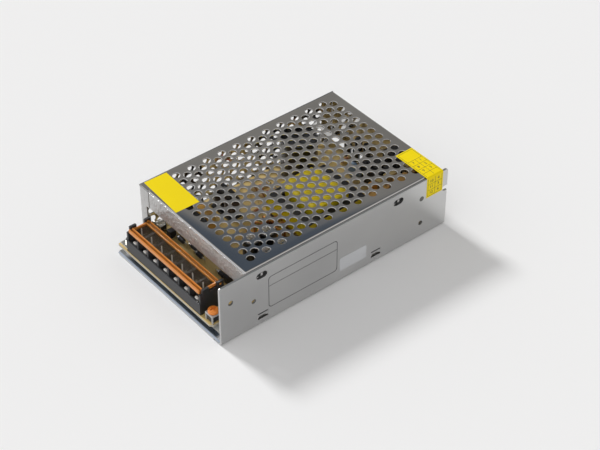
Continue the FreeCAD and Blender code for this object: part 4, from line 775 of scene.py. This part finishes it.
# Small parts on the board: diodes, jumpers, film capacitors, transistors and small resistors
DIODES = [(28.0, 73.6), (29.5, 64.0), (28.1, 57.0), (28.0, 36.6)]
DIODE_Z = 10.2
turned("diode_bodies", [spot(x, y - 2.6, DIODE_Z, ALONG_Y) for x, y in DIODES],
       [(0, 0), (1.3, 0), (1.45, 0.2), (1.45, 5.0), (1.3, 5.2), (0, 5.2)], "black",
       segments=20)
turned("diode_rings", [spot(x, y + 1.4, DIODE_Z, ALONG_Y) for x, y in DIODES],
       [(1.45, 0), (1.48, 0.05), (1.48, 0.65), (1.45, 0.7)], "can_top", segments=20)
tubes("diode_leads", [[(x, y + side * 5.2, FOOT), (x, y + side * 5.2, 9.6),
                       (x, y + side * 4.6, DIODE_Z), (x, y + side * 2.4, DIODE_Z)]
                      for x, y in DIODES for side in (-1, 1)], 0.35, "nickel")
JUMPERS = [(24.0, 22.0, 24.0, 34.0), (24.5, 44.0, 24.5, 58.0), (35.0, 40.0, 35.0, 56.0),
           (52.0, 58.0, 60.0, 58.0), (105.0, 68.0, 105.0, 78.0), (114.0, 8.0, 114.0, 22.0),
           (140.0, 66.0, 150.0, 66.0), (122.0, 64.0, 130.0, 64.0), (84.0, 12.0, 94.0, 12.0)]
tubes("jumpers", [[(a + (c - a) * share, b + (d - b) * share, z)
                   for share, z in ((0, FOOT), (0, 8.5), (0.1, 8.9), (0.9, 8.9), (1, 8.5), (1, FOOT))]
                  for a, b, c, d in JUMPERS], 0.35, "nickel")
boxes("film_capacitors", [((139.0, 9.0, RAISED), (151.0, 15.0, 27.5)),
                          ((142.0, 18.0, RAISED), (152.0, 27.0, 25.0)),
                          ((122.5, 21.5, RAISED), (131.0, 27.0, 22.5))],
      "film_brown", width=0.8)
boxes("small_transistors", [((24.8, 79.5, 8.0), (29.2, 83.2, 12.6)),
                            ((26.5, 29.5, 8.0), (30.5, 33.0, 12.4))],
      "black", width=0.3)
boxes("olive_capacitors", [((138.0, 33.0, RAISED), (142.5, 37.2, 20.0)),
                           ((144.0, 33.0, RAISED), (152.0, 37.2, 20.5))],
      "film_olive", width=0.6)
boxes("orange_capacitors", [((132.5, 33.0, RAISED), (136.8, 37.0, 20.0)),
                            ((86.0, 18.0, RAISED), (92.0, 21.0, 13.0)),
                            ((55.0, 50.0, RAISED), (61.0, 53.0, 13.5))],
      "film_orange", width=0.6)
SMALL = [(100.0, 10.0), (100.0, 15.0), (108.0, 70.0), (76.0, 68.0), (146.0, 72.0), (38.0, 46.0)]
SMALL_Z = 9.2
turned("small_resistors", [spot(x - 3.2, y, SMALL_Z, ALONG_X) for x, y in SMALL],
       [(0, 0), (0.9, 0), (1.2, 0.4), (1.2, 1.3), (1.0, 1.7), (1.0, 4.7), (1.2, 5.1), (1.2, 6.0),
        (0.9, 6.4), (0, 6.4)], "tan", segments=16)
turned("small_resistor_bands",
       [spot(x - 3.2 + d, y, SMALL_Z, ALONG_X) for x, y in SMALL for d in (2.0, 3.0, 4.0)],
       [(1.01, 0), (1.03, 0.05), (1.03, 0.4), (1.01, 0.45)], "band_red", segments=16)
tubes("small_resistor_leads",
      [[(x + side * reach, y, z)
        for reach, z in ((4.6, FOOT), (4.6, 8.8), (4.2, SMALL_Z), (3.0, SMALL_Z))]
       for x, y in SMALL for side in (-1, 1)], 0.3, "nickel")


# Printed frame and stickers, thin skins on the metal
def on_wall(u, v, depth):
    return at(u, -depth, v)


def on_top(u, v, depth):
    return at(u, v, TOP + depth)


def rounded(x0, y0, x1, y1, radius):
    """The corners of a rectangle with rounded corners, in order."""
    steps = 6
    points = []
    for cx, cy, start in ((x1 - radius, y1 - radius, 0), (x0 + radius, y1 - radius, 90),
                          (x0 + radius, y0 + radius, 180), (x1 - radius, y0 + radius, 270)):
        for i in range(steps + 1):
            turn = math.radians(start + 90 * i / steps)
            points.append((cx + radius * math.cos(turn), cy + radius * math.sin(turn)))
    return points


def bar(x0, y0, x1, y1):
    return [(x0, y0), (x1, y0), (x1, y1), (x0, y1)]


def add_plate(bm, outline, to_space, low, high):
    """A thin plate with this outline."""
    bottom = [bm.verts.new(to_space(u, v, low)) for u, v in outline]
    top = [bm.verts.new(to_space(u, v, high)) for u, v in outline]
    bm.faces.new(bottom)
    bm.faces.new(top[::-1])
    join_rings(bm, bottom, top)


def add_line(bm, outline, to_space, low, high, width):
    """A thin closed line along the outline, of this width inwards."""
    u = sum(p[0] for p in outline) / len(outline)
    v = sum(p[1] for p in outline) / len(outline)
    wide = 1 - width / (max(p[0] for p in outline) - u)
    tall = 1 - width / (max(p[1] for p in outline) - v)
    inner = [(u + (a - u) * wide, v + (b - v) * tall) for a, b in outline]
    rings = [[bm.verts.new(to_space(a, b, depth)) for a, b in points]
             for points, depth in ((outline, low), (outline, high), (inner, high), (inner, low))]
    for first, second in zip(rings, rings[1:] + rings[:1]):
        join_rings(bm, first, second)


def skin(name, shapes, to_space, low, high, mat):
    """One thin piece of plates, or of lines where a shape has a width: (outline, width)."""
    bm = bmesh.new()
    for outline, width in shapes:
        if width:
            add_line(bm, outline, to_space, low, high, width)
        else:
            add_plate(bm, outline, to_space, low, high)
    bmesh.ops.recalc_face_normals(bm, faces=bm.faces)
    finish_piece(new_object(name, bm, mat), "case")


skin("rating_frame", [(rounded(31.8, 9.4, 79.0, 31.0, 2.0), 0.32),
                      (bar(31.9, 24.4, 78.9, 24.65), 0)], on_wall, -0.01, 0.04, "print")
skin("small_sticker", [(rounded(80.8, 7.6, 99.8, 16.5, 0.5), 0)], on_wall, 0.0, 0.08, "label_pale")
skin("plain_sticker", [([(20.5, 95.6), (35.2, 95.2), (34.3, 63.2), (18.9, 63.6)], 0)],
     on_top, 0.0, 0.08, "label_yellow")

# Date sticker: one strip folded over the near edge, with plain month numbers
STRIP = (143.3, 155.3)
STRIP_FAR = 26.3                  # Y of its far end
STRIP_END = 39.8                  # its length, measured over the fold
BEND = 1.0                        # radius of its fold
BEND_RUN = 1.6                    # length of its fold
BEND_START = STRIP_FAR - BEND
BEND_STEPS = 8


def strip_point(u, v, depth):
    """A place on the strip: u along X, v the way from its far end over the fold and down."""
    if v <= BEND_START:
        return at(u, STRIP_FAR - v, TOP + depth)
    turn = min((v - BEND_START) / BEND_RUN, 1.0) * math.pi / 2
    out = BEND + depth
    down = max(v - BEND_START - BEND_RUN, 0.0)
    return at(u, BEND - out * math.sin(turn), TOP - BEND + out * math.cos(turn) - down)


def make_strip():
    bm = bmesh.new()
    rows = ([0.0, 8.0, 16.0, BEND_START]
            + [BEND_START + BEND_RUN * i / BEND_STEPS for i in range(1, BEND_STEPS + 1)]
            + [33.0, STRIP_END])
    section = ((STRIP[0], 0.02), (STRIP[1], 0.02), (STRIP[1], 0.1), (STRIP[0], 0.1))
    grid = [[bm.verts.new(strip_point(u, v, depth)) for u, depth in section] for v in rows]
    for first, second in zip(grid, grid[1:]):
        join_rings(bm, first, second)
    bm.faces.new(grid[0])
    bm.faces.new(grid[-1][::-1])
    bmesh.ops.recalc_face_normals(bm, faces=bm.faces)
    finish_piece(new_object("date_sticker", bm, "label_yellow"), "case")


make_strip()

LINE = 0.16
left, middle, right = STRIP[0] + 0.8, sum(STRIP) / 2, STRIP[1] - 0.8
UPPER = (0.9, 9.2, 25.0)          # start, head and end of the lines on the top
LOWER = (27.1, 38.9)              # start and end of those on the side
lines = [(left, UPPER[0], left + LINE, UPPER[2]), (right - LINE, UPPER[0], right, UPPER[2]),
         (left, UPPER[0], right, UPPER[0] + LINE), (middle, UPPER[1], middle + LINE, UPPER[2]),
         (left, LOWER[0], left + LINE, LOWER[1]), (right - LINE, LOWER[0], right, LOWER[1]),
         (left, LOWER[1], right, LOWER[1] + LINE), (middle, LOWER[0], middle + LINE, LOWER[1])]
lines += [(left, v, right, v + LINE) for v in (UPPER[1], 13.4, 17.6, 21.8, 30.9, 34.9)]
skin("date_lines", [(bar(*line), 0) for line in lines], strip_point, 0.09, 0.13, "dark_line")


def make_numbers():
    """Plain month numbers in two columns: 7 to 12 on the left, 1 to 6 on the right."""
    bm = bmesh.new()
    places = [(column, v) for column in (0, 1) for v in (11.3, 15.5, 19.7, 29.0, 32.9, 36.9)]
    for number, (column, v) in zip((*range(7, 13), *range(1, 7)), places):
        text = bpy.data.curves.new("number", "FONT")
        text.body = str(number)
        text.size = 2.6
        text.align_x = text.align_y = "CENTER"
        text.resolution_u = 3
        holder = bpy.data.objects.new("number", text)
        bpy.context.scene.collection.objects.link(holder)
        graph = bpy.context.evaluated_depsgraph_get()
        mesh = bpy.data.meshes.new_from_object(holder.evaluated_get(graph))
        u = left + (right - left) * (0.25 + 0.5 * column)
        moved = {vert.index: bm.verts.new(strip_point(u + vert.co.x, v - vert.co.y, 0.14))
                 for vert in mesh.vertices}
        for face in mesh.polygons:
            bm.faces.new([moved[i] for i in face.vertices])
        bpy.data.objects.remove(holder)
        bpy.data.curves.remove(text)
        bpy.data.meshes.remove(mesh)
    finish_piece(thicken(new_object("month_numbers", bm, "dark_line"), 0.03), "case")


make_numbers()

# Stage: pale floor, one soft sun, and a studio sky with a dim patch that the cover mirrors
floor_bm = bmesh.new()
add_box(floor_bm, Vector((-6, -6, -0.02)), Vector((6, 6, 0)))
new_object("floor", floor_bm, "floor")


def direction(azimuth, elevation):
    a, e = math.radians(azimuth), math.radians(elevation)
    return (math.cos(e) * math.cos(a), math.cos(e) * math.sin(a), math.sin(e))


sun = bpy.data.lights.new("key", "SUN")
sun.energy = 2.0
sun.angle = math.radians(12)
sun_object = bpy.data.objects.new("key", sun)
bpy.context.scene.collection.objects.link(sun_object)
sun_object.rotation_euler = Vector(direction(96, 37.5)).to_track_quat("Z", "Y").to_euler()


def sky_ramp(tree, toward, stops):
    """A colour over the angle from one direction of the sky: (degrees, colour) pairs."""
    place = tree.nodes.new("ShaderNodeTexCoord")
    dot = tree.nodes.new("ShaderNodeVectorMath")
    dot.operation = "DOT_PRODUCT"
    dot.inputs[1].default_value = toward
    tree.links.new(place.outputs["Generated"], dot.inputs[0])
    node = tree.nodes.new("ShaderNodeValToRGB")
    marks = node.color_ramp.elements
    marks.remove(marks[1])
    for i, (degrees, color) in enumerate(sorted(stops, reverse=True)):
        cosine = max(math.cos(math.radians(degrees)), 0.0)
        mark = marks[0] if i == 0 else marks.new(cosine)
        mark.position = cosine
        mark.color = (*color, 1)
    tree.links.new(dot.outputs["Value"], node.inputs["Fac"])
    return node.outputs["Color"]


world = bpy.data.worlds.new("studio")
bpy.context.scene.world = world
world.use_nodes = True
studio = world.node_tree
DIM = sky_ramp(studio, direction(52, 55),
               [(14.6, (0.085, 0.105, 0.135)), (15.4, (0.28, 0.27, 0.255)),
                (22.0, (0.295, 0.285, 0.265)), (34.0, (0.37, 0.365, 0.355)),
                (46.0, (0.83, 0.83, 0.84))])
SIDE = sky_ramp(studio, direction(-38, 0),
                [(78.0, (0.78, 0.77, 0.75)), (86.0, (0.92, 0.92, 0.92)), (94.0, (1.0, 1.0, 1.0))])
blend = studio.nodes.new("ShaderNodeMix")
blend.data_type = "RGBA"
blend.blend_type = "MULTIPLY"
blend.inputs["Factor"].default_value = 1.0
studio.links.new(DIM, blend.inputs["A"])
studio.links.new(SIDE, blend.inputs["B"])
studio.links.new(blend.outputs["Result"], studio.nodes["Background"].inputs["Color"])

# The camera at the photo's angle
lens = bpy.data.cameras.new("camera")
lens.sensor_width = 36.0
lens.lens = 102.35
lens.clip_end = 20
camera = bpy.data.objects.new("camera", lens)
bpy.context.scene.collection.objects.link(camera)
camera.location = (-0.4521, -0.57331, 0.62715)
camera.rotation_euler = (0.868593, 0.0008, -0.6822)
bpy.context.scene.camera = camera
bpy.context.scene.view_settings.view_transform = "Standard"
